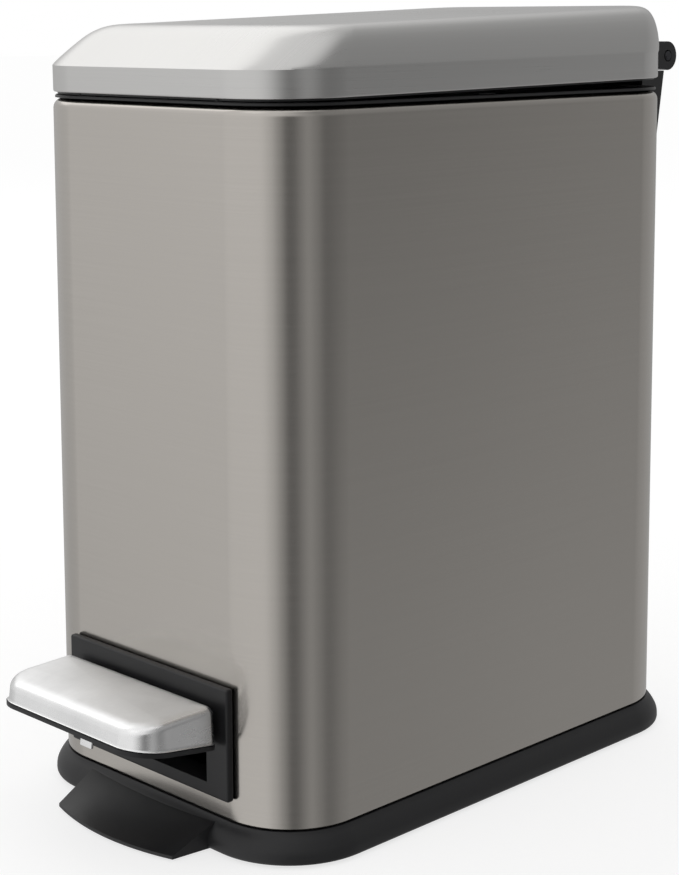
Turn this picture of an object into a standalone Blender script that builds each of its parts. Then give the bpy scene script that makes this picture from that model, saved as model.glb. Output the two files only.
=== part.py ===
"""A slim pedal bin of the five litre class, in metres, standing on the floor at z = 0.

Its pedal points towards -Y. The origin is on the floor, halfway along the bin's whole reach from pedal to
hinge. Everything is placed from an empty at the middle of the body's footprint. The lid, the pedal lever, the
push rod, the bucket and its handle each hang from an empty on their own joint.
"""

import math

import bmesh
import bpy
from mathutils import Vector

# Clearances and facets
SEAT_GAP = 0.0003  # between pieces that rest on or in each other
PIVOT_GAP = 0.0003  # round a pin, all the way round
SIDE_GAP = 0.0005  # beside a moving piece
OVERRUN = 0.002  # how far a cutter runs past what it cuts
CORNER_STEPS = 6
ARC_STEPS = 4
ROUND_STEPS = 16
PIN_STEPS = 12
SHARP_ANGLE = math.radians(35)

# Body shell, a folded steel sleeve
BODY_WIDTH = 0.140
BODY_DEPTH = 0.217
BODY_HEIGHT = 0.244
BODY_CORNER = 0.029
SHELL_WALL = 0.0006
ROLL_RADIUS = 0.0025
ROLL_LIP = 0.0015
HEM_RADIUS = 0.0010
HEM_WIDTH = 0.0030

# Base, a moulded tray with a flared skirt
BASE_HEIGHT = 0.0108
BASE_FLARE = 0.0045
BASE_FLARE_HEIGHT = 0.0026
BASE_TOE_RADIUS = 0.0016
BASE_SKIN = 0.0018
BASE_FLOOR = 0.0024
BASE_WALL = 0.0018
BASE_UPSTAND = 0.0090
BASE_BEAD = 0.0018
BASE_BEAD_HEIGHT = 0.0012
BASE_GROOVE_DEPTH = 0.0065
FLARE_OUT_SHARES = (0.02, 0.16, 0.50, 0.83, 0.97)
FLARE_DOWN_SHARES = (0.00, 0.14, 0.36, 0.66, 0.88)

# Floor ribs and seats inside the base
RIB_HEIGHT = 0.0020
RIB_WIDTH = 0.0016
RIB_LENGTH = 0.150
RIB_SPACING = 0.028
RIB_COUNT = 3

# Toe plate, the scooped tongue in front of the base
TOE_ROOT_HALF = 0.0345
TOE_TIP_HALF = 0.0320
TOE_REACH = 0.0235
TOE_BOW = 0.0050
TOE_EDGE = 0.0012
TOE_SCOOP = 0.0026
TOE_ROOT_DROP = 0.0006
TOE_WALL = 0.0022
TOE_SECTIONS = 8
TOE_POINTS = 6

# Rubber feet
FOOT_RADIUS = 0.0060
FOOT_HEIGHT = 0.0020
FOOT_PROUD = 0.0010
FOOT_IN_X = 0.0230
FOOT_IN_Y = 0.0260

# Top rim, which the bucket hangs in
RIM_SETBACK = 0.0007
RIM_FLANGE = 0.0010
RIM_WALL = 0.0016
RIM_BEAD = 0.0008
RIM_BEAD_HEIGHT = 0.0016
RIM_LEDGE_DROP = 0.0047
RIM_LEDGE = 0.0026
RIM_LEDGE_THICKNESS = 0.0016

# Pedal frame, the bezel of the pedal opening
FRAME_HALF_WIDTH = 0.0435
FRAME_HEIGHT = 0.0399
FRAME_RAISE = 0.0079
FRAME_PROUD = 0.0030
FRAME_BEVEL = 0.0007
OPENING_HALF_WIDTH = 0.0325
OPENING_HEIGHT = 0.0248
OPENING_RAISE = 0.0049
COLLAR_WALL = 0.0016
COLLAR_DEPTH = 0.0060
COLLAR_BEAD = 0.0010
COLLAR_BEAD_LENGTH = 0.0018

# Pedal lever, a pressed channel that rocks on the axle
AXLE_SETBACK = 0.0685
AXLE_RAISE = 0.0177
AXLE_RADIUS = 0.0025
LEVER_FRONT_HALF = 0.0090
LEVER_REAR_HALF = 0.0042
LEVER_SHEET = 0.0015
LEVER_CHANNEL = 0.0080
LEVER_FRONT_REACH = 0.0970
LEVER_TAIL = 0.0016
LEVER_TAPER_START = 0.020
LEVER_TAPER_END = 0.105
LEVER_HOLE_RADIUS = 0.0070
LEVER_HOLE_SHARES = (0.22, 0.40)

# Pedal core and cap
PEDAL_HALF_WIDTH = 0.0405
PEDAL_STANDOFF = 0.0016
PEDAL_LENGTH = 0.0338
PEDAL_FRONT_RADIUS = 0.0120
PEDAL_REAR_RADIUS = 0.0030
PEDAL_TOP_RAISE = 0.0408
PEDAL_ARCH = 0.0021
PEDAL_EDGE_RAISE = 0.0289
CAP_SHEET = 0.0008
CAP_ROUND = 0.0050
CAP_ROUND_DEPTH = 0.0032
CAP_DRAFT = 0.0004
CAP_SHARES = (0.3, 0.65, 1)
LIP_THICKNESS = 0.0015
LIP_PROUD = 0.0010
CORE_RIM = 0.0018
CORE_ROOF = 0.0016
CORE_RIB = 0.0016
CORE_POCKETS = 2
PEDAL_SCREW_IN = 0.0050

# Axle, its bearings and its clips
BEARING_WIDTH = 0.0060
BEARING_HALF_LENGTH = 0.0075
BEARING_CROWN = 0.0060
AXLE_END = 0.0022
WASHER_THICKNESS = 0.0008
WASHER_BAND = 0.0022
WASHER_STAND = 0.0003

# Push rod
ROD_RADIUS = 0.0016
ROD_STANDOFF = 0.0099
ROD_FLOOR_ROOM = 0.0057
ROD_BEND = 0.0032
ROD_END = 0.0030
ROD_CRANK_DROP = 0.0290
ROD_SLOT_SIDE = 0.0012
ROD_SLOT_END = 0.0014
WIRE_STEPS = 5
WIRE_RESOLUTION = 2

# Hinge
HINGE_SETBACK = 0.0174
HINGE_RAISE = 0.0126
LID_NOSE_DROP = 0.00305
LID_OPENING = math.radians(75)
PIN_RADIUS = 0.0020
PIN_PROUD = 0.0005
KNUCKLE_RADIUS = 0.0065
ARM_WIDTH = 0.0080
ARM_TAPER = 0.0045
HINGE_SIDE_ROOM = 0.0220
CENTRE_ARM_HALF = 0.0036
BARREL_START = 0.0106
HOOK_SETBACK = 0.0125
HOOK_SLOT_PLAY = 0.0009
HOOK_WALL = 0.0022
ARM_PLATE = 0.0025
ARM_PLATE_TOP = 0.0072
ARM_PLATE_GAP = 0.0003

# Hinge bracket, the hollow wedge behind the shell
BRACKET_TOP_DEPTH = 0.0158
BRACKET_BOTTOM_DEPTH = 0.0040
BRACKET_HEIGHT = 0.0710
BRACKET_CORNER = 0.0140
BRACKET_ROUND = 0.0015
BRACKET_WALL = 0.0018
BRACKET_TOP_GAP = 0.0008
BRACKET_WEB = 0.0034
BRACKET_MOUTH_HALF = 0.0102
BOSS_RADIUS = 0.0036

# Plate inside the shell, behind the bracket, with the rod's guide
PLATE_SHEET = 0.0010
PLATE_SIDE_ROOM = 0.0110
PLATE_TOP_DROP = 0.0075
PLATE_HEIGHT = 0.0560
PLATE_SCREW_IN = 0.0070
GUIDE_HALF_WIDTH = 0.0060
GUIDE_MARGIN = 0.0030

# Screws
SCREW_RADIUS = 0.0015
SCREW_HEAD_RADIUS = 0.0028
SCREW_HEAD_HEIGHT = 0.0014
SCREW_DEEP = 0.0015

# Lid cover, a pressed steel dome over a straight band
LID_BAND = 0.0102
LID_RISE = 0.0123
LID_SLOPE = 0.0210
LID_SAG = 0.0008
LID_CROWN = 0.0006
LID_SHEET = 0.0006
LID_HEM = 0.0012
LID_FRONT_DEPTH = 0.0260
LID_SIDE_DEPTH = 0.0182
LID_REAR_DEPTH = 0.0079
LID_FRONT_BULGE = 1.41
LID_SIDE_BULGE = 3.89
LID_REAR_BULGE = 3.96
LID_TOP_FRONT_RADIUS = 0.0180
LID_TOP_REAR_RADIUS = 0.0141
LID_CORNER_EASE = 0.65
LID_SKIRT_DROP = 0.0064
DOME_STEPS = 8
CROWN_SHARES = (0.75, 0.45, 0.15)

# Lid liner
LINER_WALL = 0.0016
LINER_DROP = 0.0012
LINER_SETBACK = 0.0005
LINER_FLANGE = 0.0042
LINER_RIB_DEPTH = 0.0040
LINER_RIB_WIDTH = 0.0014
LINER_RIB_SHARES = (-0.5, 0.0, 0.5)
POCKET_WALL = 0.0030
BUFFER_RADIUS = 0.0013
BUFFER_HEIGHT = 0.0011
BUFFER_PROUD = 0.0003
BUFFER_IN_X = 0.0330

# Inner bucket
BUCKET_FLANGE = 0.0017
BUCKET_WALL = 0.0016
BUCKET_CLEAR = 0.0003
BUCKET_DRAFT = 0.0070
BUCKET_BOTTOM_RAISE = 0.0480
BUCKET_HEEL = 0.0050
BUCKET_RECESS = 0.0012
BUCKET_RECESS_IN = 0.0100
BUCKET_REAR_ROOM = 0.0050
BUCKET_SIDE_PLAY = 0.0010
EAR_HALF_LENGTH = 0.0045
EAR_SETBACK = 0.0024
EAR_THICKNESS = 0.0040
EAR_ROOT = 0.0040
EAR_CROWN = 0.0010

# Bucket handle, a wire bail that lies on the bucket's rim
BAIL_RADIUS = 0.0013
BAIL_BEND = 0.0026
BAIL_END_IN = 0.0012

# Colours, as linear red, green and blue
STEEL = (0.40, 0.385, 0.365)
POLISHED = (0.80, 0.80, 0.80)
WIRE = (0.50, 0.50, 0.50)
BLACK = (0.018, 0.018, 0.020)
GREY = (0.045, 0.045, 0.048)
RUBBER = (0.012, 0.012, 0.012)
ACETAL = (0.62, 0.62, 0.60)

# Places that follow from the sizes above
HALF_WIDTH = BODY_WIDTH / 2
HALF_DEPTH = BODY_DEPTH / 2
SHELL_BOTTOM = FOOT_PROUD + BASE_HEIGHT
SHELL_TOP = SHELL_BOTTOM + BODY_HEIGHT
SHELL_REAR_INSIDE = HALF_DEPTH - SHELL_WALL
FLOOR_TOP = FOOT_PROUD + BASE_FLOOR
RIM_TOP = SHELL_TOP + SEAT_GAP + RIM_FLANGE
SPIGOT_OUTSIDE = ROLL_RADIUS + ROLL_LIP + SEAT_GAP
SPIGOT_INSIDE = SPIGOT_OUTSIDE + RIM_WALL
LEDGE_TOP = SHELL_TOP - RIM_LEDGE_DROP
AXLE_Y = -HALF_DEPTH + AXLE_SETBACK
AXLE_Z = SHELL_BOTTOM + AXLE_RAISE
HINGE_Y = HALF_DEPTH + HINGE_SETBACK
HINGE_Z = SHELL_TOP + HINGE_RAISE
LID_NOSE_DOWN = math.atan(LID_NOSE_DROP / (BODY_DEPTH + HINGE_SETBACK))
HINGE_HALF_WIDTH = HALF_WIDTH - HINGE_SIDE_ROOM
PLATE_HALF_WIDTH = HINGE_HALF_WIDTH - PLATE_SIDE_ROOM
PEDAL_REAR_Y = -HALF_DEPTH - SEAT_GAP - FRAME_PROUD - PEDAL_STANDOFF
PEDAL_FRONT_Y = PEDAL_REAR_Y - PEDAL_LENGTH
PEDAL_EDGE_Z = SHELL_BOTTOM + PEDAL_EDGE_RAISE
PEDAL_TOP_Z = SHELL_BOTTOM + PEDAL_TOP_RAISE
FRONT_REACH = LIP_PROUD - PEDAL_FRONT_Y
REAR_REACH = HINGE_Y + KNUCKLE_RADIUS
ORIGIN_SHIFT = (FRONT_REACH - REAR_REACH) / 2
ROD_X = LEVER_REAR_HALF + SIDE_GAP + ROD_BEND
ROD_LOW_Y = SHELL_REAR_INSIDE - ROD_STANDOFF
LEVER_LEVEL_REACH = ROD_LOW_Y - AXLE_Y
ROD_LOW_Z = FLOOR_TOP + ROD_FLOOR_ROOM
LEVER_REST_ANGLE = math.atan((AXLE_Z - ROD_LOW_Z) / LEVER_LEVEL_REACH)
LEVER_REST_REACH = LEVER_LEVEL_REACH / math.cos(LEVER_REST_ANGLE)
HOOK_Y = HINGE_Y - HOOK_SETBACK
HOOK_RISE = HOOK_SETBACK * math.tan(LID_OPENING / 2)
HOOK_Z = HINGE_Z - HOOK_RISE
ROD_TRAVEL = 2 * HOOK_RISE
CRANK_Z = SHELL_TOP - ROD_CRANK_DROP
BRACKET_TOP = HINGE_Z - KNUCKLE_RADIUS - BRACKET_TOP_GAP
BRACKET_BOTTOM = BRACKET_TOP - BRACKET_HEIGHT
PLATE_TOP = SHELL_TOP - PLATE_TOP_DROP
PLATE_BOTTOM = PLATE_TOP - PLATE_HEIGHT
BUCKET_TOP = LEDGE_TOP + SEAT_GAP + BUCKET_FLANGE
BUCKET_BOTTOM = SHELL_BOTTOM + BUCKET_BOTTOM_RAISE
BUCKET_OUTSIDE = SPIGOT_INSIDE + RIM_LEDGE + BUCKET_CLEAR
BAIL_Z = BUCKET_TOP + SEAT_GAP + BAIL_RADIUS
FLANGE_OUTSIDE = SPIGOT_INSIDE + BUCKET_SIDE_PLAY
EAR_OUTSIDE = FLANGE_OUTSIDE + EAR_SETBACK
BAIL_IN = EAR_OUTSIDE + EAR_THICKNESS + SEAT_GAP + BAIL_BEND


def clear_scene():
    for thing in list(bpy.data.objects):
        bpy.data.objects.remove(thing, do_unlink=True)


# Materials


def make_material(name, colour, roughness, metallic):
    material = bpy.data.materials.new(name)
    material.use_nodes = True
    shader = material.node_tree.nodes["Principled BSDF"]
    shader.inputs["Base Color"].default_value = (*colour, 1)
    shader.inputs["Roughness"].default_value = roughness
    shader.inputs["Metallic"].default_value = metallic
    material.diffuse_color = (*colour, 1)
    return material


def make_materials():
    return {
        "steel": make_material("brushed_steel", STEEL, 0.32, 1),
        "polished": make_material("polished_steel", POLISHED, 0.12, 1),
        "wire": make_material("plated_wire", WIRE, 0.30, 1),
        "black": make_material("black_plastic", BLACK, 0.45, 0),
        "grey": make_material("dark_grey_plastic", GREY, 0.50, 0),
        "rubber": make_material("black_rubber", RUBBER, 0.85, 0),
        "acetal": make_material("white_acetal", ACETAL, 0.40, 0),
    }


# Building blocks


def place(name, mesh, parent, material):
    piece = bpy.data.objects.new(name, mesh)
    bpy.context.scene.collection.objects.link(piece)
    piece.parent = parent
    if material:
        mesh.materials.append(material)
    return piece


def finish_mesh(shape, name):
    bmesh.ops.recalc_face_normals(shape, faces=shape.faces)
    mesh = bpy.data.meshes.new(name)
    shape.to_mesh(mesh)
    shape.free()
    mesh.shade_smooth()
    mesh.set_sharp_from_angle(angle=SHARP_ANGLE)
    return mesh


def loft(name, rings, parent, material=None, closed=False):
    """One body over rings of equal count, its ends capped, or joined to each other when closed."""
    shape = bmesh.new()
    loops = [[shape.verts.new(point) for point in ring] for ring in rings]
    pairs = list(zip(loops, loops[1:]))
    if closed:
        pairs.append((loops[-1], loops[0]))
    else:
        shape.faces.new(loops[0])
        shape.faces.new(loops[-1])
    for below, above in pairs:
        for i, corner in enumerate(below):
            j = (i + 1) % len(below)
            shape.faces.new((corner, below[j], above[j], above[i]))
    return place(name, finish_mesh(shape, name), parent, material)


def prism(name, outline, start, end, parent, material=None):
    """A (y, z) outline extruded along X."""
    rings = [[Vector((x, y, z)) for y, z in outline] for x in (start, end)]
    return loft(name, rings, parent, material)


def box(name, low, high, parent, material=None, bevel=0):
    shape = bmesh.new()
    bmesh.ops.create_cube(shape, size=1)
    low, high = Vector(low), Vector(high)
    bmesh.ops.scale(shape, vec=high - low, verts=shape.verts)
    bmesh.ops.translate(shape, vec=(low + high) / 2, verts=shape.verts)
    if bevel:
        bmesh.ops.bevel(shape, geom=shape.edges[:], offset=bevel, segments=1, affect="EDGES")
    return place(name, finish_mesh(shape, name), parent, material)


def turned(name, profile, axis, centre, parent, material=None, steps=ROUND_STEPS, hollow=False):
    """A (radius, distance) profile turned round the axis X, Y or Z through the centre."""
    forward = Vector([float(axis == letter) for letter in "XYZ"])
    side = Vector((forward.y, forward.z, forward.x))
    other = forward.cross(side)
    rings = []
    for radius, distance in profile:
        turns = [math.tau * i / steps for i in range(steps)]
        spokes = [side * math.cos(turn) + other * math.sin(turn) for turn in turns]
        rings.append([Vector(centre) + forward * distance + spoke * radius for spoke in spokes])
    return loft(name, rings, parent, material, closed=hollow)


def cylinder(name, radius, axis, centre, start, end, parent, material=None, steps=ROUND_STEPS):
    return turned(name, [(radius, start), (radius, end)], axis, centre, parent, material, steps)


def hide(helper):
    helper.hide_render = True
    helper.display_type = "WIRE"


def combine(piece, helper, operation):
    step = piece.modifiers.new(helper.name, "BOOLEAN")
    step.operation = operation
    step.object = helper
    step.solver = "EXACT"
    hide(helper)


def cut(piece, helper):
    combine(piece, helper, "DIFFERENCE")


def join(piece, helper):
    combine(piece, helper, "UNION")


def empty(name, location, parent=None, tilt=0):
    point = bpy.data.objects.new(name, None)
    bpy.context.scene.collection.objects.link(point)
    point.parent = parent
    point.location = location
    point.rotation_euler.x = tilt
    return point


def arc(centre, radius, start, end, steps):
    """Points of a plane arc, its angles in degrees."""
    turns = [math.radians(start + (end - start) * i / steps) for i in range(steps + 1)]
    return [(centre[0] + radius * math.cos(turn), centre[1] + radius * math.sin(turn)) for turn in turns]


def rounded_ring(half_width, front, rear, front_radius, rear_radius, height):
    """A rounded rectangle seen from above, from its front right corner round to its front left one."""
    corners = (
        (half_width - front_radius, front + front_radius, front_radius, -90),
        (half_width - rear_radius, rear - rear_radius, rear_radius, 0),
        (rear_radius - half_width, rear - rear_radius, rear_radius, 90),
        (front_radius - half_width, front + front_radius, front_radius, 180),
    )
    flat = [
        point
        for x, y, radius, start in corners
        for point in arc((x, y), radius, start, start + 90, CORNER_STEPS)
    ]
    return [Vector((x, y, height(y) if callable(height) else height)) for x, y in flat]


def body_ring(inset, height, rear_room=0):
    """The body's outline, drawn in by the inset, and by more at the rear where there is room to keep."""
    radius = BODY_CORNER - inset
    return rounded_ring(
        HALF_WIDTH - inset, inset - HALF_DEPTH, HALF_DEPTH - inset - rear_room, radius, radius, height
    )


def body_rings(profile):
    return [body_ring(*level) for level in profile]


def wire_path(corners, radius, steps):
    """A path through straight runs, with an arc of the given radius at each corner between them."""
    points = [Vector(corners[0])]
    for before, corner, after in zip(corners, corners[1:], corners[2:]):
        corner = Vector(corner)
        back = (Vector(before) - corner).normalized()
        onward = (Vector(after) - corner).normalized()
        half = back.angle(onward) / 2
        middle = corner + (back + onward).normalized() * radius / math.sin(half)
        start = corner + back * radius / math.tan(half) - middle
        end = corner + onward * radius / math.tan(half) - middle
        turn = start.angle(end)
        for i in range(steps + 1):
            left, right = math.sin(turn * (1 - i / steps)), math.sin(turn * i / steps)
            points.append(middle + (start * left + end * right) / math.sin(turn))
    return points + [Vector(corners[-1])]


def wire(name, points, radius, parent, material):
    curve = bpy.data.curves.new(name, "CURVE")
    curve.dimensions = "3D"
    curve.bevel_depth = radius
    curve.bevel_resolution = WIRE_RESOLUTION
    curve.use_fill_caps = True
    spline = curve.splines.new("POLY")
    spline.points.add(len(points) - 1)
    for target, point in zip(spline.points, points):
        target.co = (*point, 1)
    spline.use_smooth = True
    return place(name, curve, parent, material)


def washer(name, radius, centre, parent, material):
    """A push-on washer round a pin along X, its near face at the centre."""
    inside = radius + PIVOT_GAP
    outside = inside + WASHER_BAND
    profile = [(inside, 0), (outside, 0), (outside, WASHER_THICKNESS), (inside, WASHER_THICKNESS)]
    return turned(name, profile, "X", centre, parent, material, PIN_STEPS, hollow=True)


def screw(name, axis, centre, length, direction, parent, material):
    """A pan head screw: the head's underside is at the centre, and the shank points along the direction."""
    head = SCREW_HEAD_HEIGHT
    profile = [
        (SCREW_HEAD_RADIUS * 2 / 3, -head),
        (SCREW_HEAD_RADIUS, -head / 2),
        (SCREW_HEAD_RADIUS, 0),
        (SCREW_RADIUS, 0),
        (SCREW_RADIUS, length - SCREW_RADIUS),
        (SCREW_RADIUS / 3, length),
    ]
    profile = [(radius, distance * direction) for radius, distance in profile]
    return turned(name, profile, axis, centre, parent, material, PIN_STEPS)


def screw_hole(name, axis, centre, start, end, parent):
    return cylinder(name, SCREW_RADIUS + SEAT_GAP, axis, centre, start, end, parent, steps=PIN_STEPS)


# Body shell


def shell_profile():
    bottom, top, wall = SHELL_BOTTOM, SHELL_TOP, SHELL_WALL
    roll = (ROLL_RADIUS, top - ROLL_RADIUS)
    hem = (HEM_RADIUS, bottom + HEM_RADIUS)
    lip = ROLL_RADIUS + ROLL_LIP
    profile = [(HEM_WIDTH, bottom)]
    profile += arc(hem, HEM_RADIUS, 270, 180, ARC_STEPS // 2)
    profile += arc(roll, ROLL_RADIUS, 180, 90, ARC_STEPS)
    profile += [(lip, top), (lip, top - wall)]
    profile += arc(roll, ROLL_RADIUS - wall, 90, 180, ARC_STEPS)
    profile += arc(hem, HEM_RADIUS - wall, 180, 270, ARC_STEPS // 2)
    return profile + [(HEM_WIDTH, bottom + wall)]


def rear_screw_places():
    x = PLATE_HALF_WIDTH - PLATE_SCREW_IN
    heights = (PLATE_TOP - PLATE_SCREW_IN, PLATE_BOTTOM + PLATE_SCREW_IN)
    return [(side * x, z) for z in heights for side in (-1, 1)]


def rod_slot(name, start, end, parent):
    """The upright slot that the rod's crank moves in, cut along Y between start and end."""
    half = ROD_RADIUS + ROD_SLOT_SIDE
    low = CRANK_Z - ROD_RADIUS - ROD_SLOT_END
    high = CRANK_Z + ROD_TRAVEL + ROD_RADIUS + ROD_SLOT_END
    return box(name, (ROD_X - half, start, low), (ROD_X + half, end, high), parent)


def build_shell(root, material):
    shell = loft("body_shell", body_rings(shell_profile()), root, material, closed=True)
    side = OPENING_HALF_WIDTH + COLLAR_WALL + SEAT_GAP
    low = frame_opening_bottom() - COLLAR_WALL - SEAT_GAP
    high = low + OPENING_HEIGHT + 2 * (COLLAR_WALL + SEAT_GAP)
    front, inside = -HALF_DEPTH - OVERRUN, -HALF_DEPTH + SHELL_WALL + OVERRUN
    cut(shell, box("shell_opening_cut", (-side, front, low), (side, inside, high), root))
    behind, before = HALF_DEPTH + OVERRUN, SHELL_REAR_INSIDE - OVERRUN
    cut(shell, rod_slot("shell_slot_cut", before, behind, root))
    for i, (x, z) in enumerate(rear_screw_places(), 1):
        cut(shell, screw_hole(f"shell_screw_cut_{i}", "Y", (x, 0, z), before, behind, root))


# Base


def flare_profile():
    """The skirt's outside, from under the shell's edge down to the rounded foot of the flare."""
    foot_top = FOOT_PROUD + BASE_FLARE_HEIGHT
    drop = SHELL_BOTTOM - SEAT_GAP - foot_top
    shares = zip(FLARE_OUT_SHARES, FLARE_DOWN_SHARES)
    skirt = [(-BASE_FLARE * out, SHELL_BOTTOM - SEAT_GAP - drop * down) for out, down in shares]
    middle = (BASE_TOE_RADIUS - BASE_FLARE, FOOT_PROUD + BASE_TOE_RADIUS)
    return skirt + arc(middle, BASE_TOE_RADIUS, 180, 270, ARC_STEPS // 2)


def base_profile():
    """From the underside of the floor, round the hollow skirt, up the upstand and back down to the floor."""
    ledge = SHELL_BOTTOM - SEAT_GAP
    wall = HEM_WIDTH + SEAT_GAP
    inner = wall + BASE_WALL
    bead_bottom = SHELL_BOTTOM + SHELL_WALL + SEAT_GAP
    bead_top = bead_bottom + BASE_BEAD_HEIGHT
    upstand = SHELL_BOTTOM + BASE_UPSTAND
    groove = FOOT_PROUD + BASE_GROOVE_DEPTH
    skin_foot = BASE_SKIN - BASE_FLARE
    middle = 2 * inner
    return [
        (middle, FOOT_PROUD),
        (wall + BASE_WALL / 2, FOOT_PROUD),
        (wall + BASE_WALL / 2, groove),
        (BASE_SKIN / 2, groove),
        (skin_foot, FOOT_PROUD + BASE_FLARE_HEIGHT),
        (skin_foot, FOOT_PROUD),
        *reversed(flare_profile()),
        (wall, ledge),
        (wall, bead_bottom),
        (wall - BASE_BEAD, bead_bottom),
        (wall - BASE_BEAD, bead_top),
        (wall, bead_top + BASE_BEAD),
        (wall, upstand),
        (inner, upstand),
        (inner, FLOOR_TOP),
        (middle, FLOOR_TOP),
    ]


def toe_section(x, root_half, tip_half, reach, wall):
    """One slice of the toe plate across X: the scooped top from root to tip, then the flat underside."""
    share = x / root_half
    root_y = BASE_SKIN / 2 - HALF_DEPTH
    front_y = -HALF_DEPTH - reach + TOE_BOW * share * share
    root_z = SHELL_BOTTOM - SEAT_GAP - TOE_ROOT_DROP - wall
    tip_z = FOOT_PROUD + TOE_EDGE - wall
    dip = TOE_SCOOP * (1 - share * share)
    under = FOOT_PROUD - wall
    points = []
    for i in range(TOE_POINTS + 1):
        along = i / TOE_POINTS
        narrowing = 1 + (tip_half / root_half - 1) * along
        y = root_y + (front_y - root_y) * along
        z = root_z + (tip_z - root_z) * along - dip * math.sin(math.pi * along)
        points.append(Vector((x * narrowing, y, z)))
    ends = [Vector((points[-1].x, front_y, under)), Vector((x, root_y, under))]
    return points + ends


def toe_solid(name, root_half, tip_half, reach, wall, root):
    places = [root_half * (2 * i / TOE_SECTIONS - 1) for i in range(TOE_SECTIONS + 1)]
    rings = [toe_section(x, root_half, tip_half, reach, wall) for x in places]
    return loft(name, rings, root)


def foot_places():
    x, y = HALF_WIDTH - FOOT_IN_X, HALF_DEPTH - FOOT_IN_Y
    names = ("front_left", "front_right", "rear_left", "rear_right")
    spots = ((-x, -y), (x, -y), (-x, y), (x, y))
    return list(zip(names, spots))


def bearing_places():
    x = LEVER_FRONT_HALF + SIDE_GAP + BEARING_WIDTH / 2
    return [("left", -x), ("right", x)]


def build_base(root, material):
    base = loft("base", body_rings(base_profile()), root, material)
    join(base, toe_solid("toe_plate", TOE_ROOT_HALF, TOE_TIP_HALF, TOE_REACH, 0, root))
    hollow = (TOE_ROOT_HALF - TOE_WALL, TOE_TIP_HALF - TOE_WALL, TOE_REACH - TOE_WALL, TOE_WALL)
    cut(base, toe_solid("toe_hollow", *hollow, root))
    under, floor = FOOT_PROUD, FLOOR_TOP
    for i in range(RIB_COUNT):
        x = RIB_SPACING * (i - (RIB_COUNT - 1) / 2)
        if abs(x) < LEVER_FRONT_HALF:
            continue
        low = (x - RIB_WIDTH / 2, -RIB_LENGTH / 2, floor - BASE_FLOOR / 2)
        high = (x + RIB_WIDTH / 2, RIB_LENGTH / 2, floor + RIB_HEIGHT)
        join(base, box(f"floor_rib_{i + 1}", low, high, root))
    pocket = under + FOOT_HEIGHT - FOOT_PROUD + SEAT_GAP
    for name, (x, y) in foot_places():
        radius = FOOT_RADIUS + SEAT_GAP
        cut(base, cylinder(f"foot_cut_{name}", radius, "Z", (x, y, 0), -OVERRUN, pocket, root))
    for name, x in bearing_places():
        centre = (x, AXLE_Y, 0)
        cut(base, screw_hole(f"bearing_cut_{name}", "Z", centre, -OVERRUN, floor + OVERRUN, root))
        head = SCREW_HEAD_RADIUS + SEAT_GAP
        depth = under + SCREW_HEAD_HEIGHT
        cut(base, cylinder(f"bearing_head_{name}", head, "Z", centre, -OVERRUN, depth, root, steps=PIN_STEPS))


def build_feet(root, material):
    for name, (x, y) in foot_places():
        chamfer = FOOT_PROUD / 2
        profile = [
            (FOOT_RADIUS - chamfer, 0),
            (FOOT_RADIUS, chamfer),
            (FOOT_RADIUS, FOOT_HEIGHT),
        ]
        turned(f"foot_{name}", profile, "Z", (x, y, 0), root, material)


# Top rim


def build_rim(root, material):
    under, lip_under = SHELL_TOP + SEAT_GAP, SHELL_TOP - SHELL_WALL - SEAT_GAP
    ledge_in = SPIGOT_INSIDE + RIM_LEDGE
    ledge_bottom = LEDGE_TOP - RIM_LEDGE_THICKNESS
    bead = SPIGOT_OUTSIDE - RIM_BEAD
    chamfer = RIM_FLANGE / 3
    rings = body_rings([
        (RIM_SETBACK, under),
        (RIM_SETBACK, RIM_TOP - chamfer),
        (RIM_SETBACK + chamfer, RIM_TOP),
        (SPIGOT_INSIDE, RIM_TOP),
        (SPIGOT_INSIDE, LEDGE_TOP),
        (ledge_in, LEDGE_TOP, BUCKET_REAR_ROOM),
        (ledge_in, ledge_bottom, BUCKET_REAR_ROOM),
        (SPIGOT_OUTSIDE, ledge_bottom),
        (SPIGOT_OUTSIDE, lip_under - RIM_BEAD_HEIGHT - RIM_BEAD),
        (bead, lip_under - RIM_BEAD_HEIGHT),
        (bead, lip_under),
        (SPIGOT_OUTSIDE, lip_under),
        (SPIGOT_OUTSIDE, under),
    ])
    loft("top_rim", rings, root, material, closed=True)


# Pedal frame


def frame_opening_bottom():
    return SHELL_BOTTOM + FRAME_RAISE + OPENING_RAISE


def build_frame(root, material):
    front = -HALF_DEPTH - SEAT_GAP - FRAME_PROUD
    rear = -HALF_DEPTH + SHELL_WALL + COLLAR_DEPTH
    bottom = SHELL_BOTTOM + FRAME_RAISE
    low = (-FRAME_HALF_WIDTH, front, bottom)
    high = (FRAME_HALF_WIDTH, -HALF_DEPTH - SEAT_GAP, bottom + FRAME_HEIGHT)
    frame = box("pedal_frame", low, high, root, material, FRAME_BEVEL)
    side, low_z = OPENING_HALF_WIDTH, frame_opening_bottom()
    high_z = low_z + OPENING_HEIGHT
    wall, middle = COLLAR_WALL, front + FRAME_PROUD / 2
    collar = (-side - wall, middle, low_z - wall), (side + wall, rear, high_z + wall)
    join(frame, box("frame_collar", *collar, root))
    bead_start = -HALF_DEPTH + SHELL_WALL + SEAT_GAP
    bead = wall + COLLAR_BEAD
    bead_low = (-side - bead, bead_start, low_z + bead)
    bead_high = (side + bead, bead_start + COLLAR_BEAD_LENGTH, high_z - bead)
    join(frame, box("frame_snap_beads", bead_low, bead_high, root))
    mouth = (-side, front - OVERRUN, low_z), (side, rear + OVERRUN, high_z)
    cut(frame, box("frame_mouth_cut", *mouth, root))


# Pedal lever, in the frame of the axle, with the lever level along Y


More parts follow.
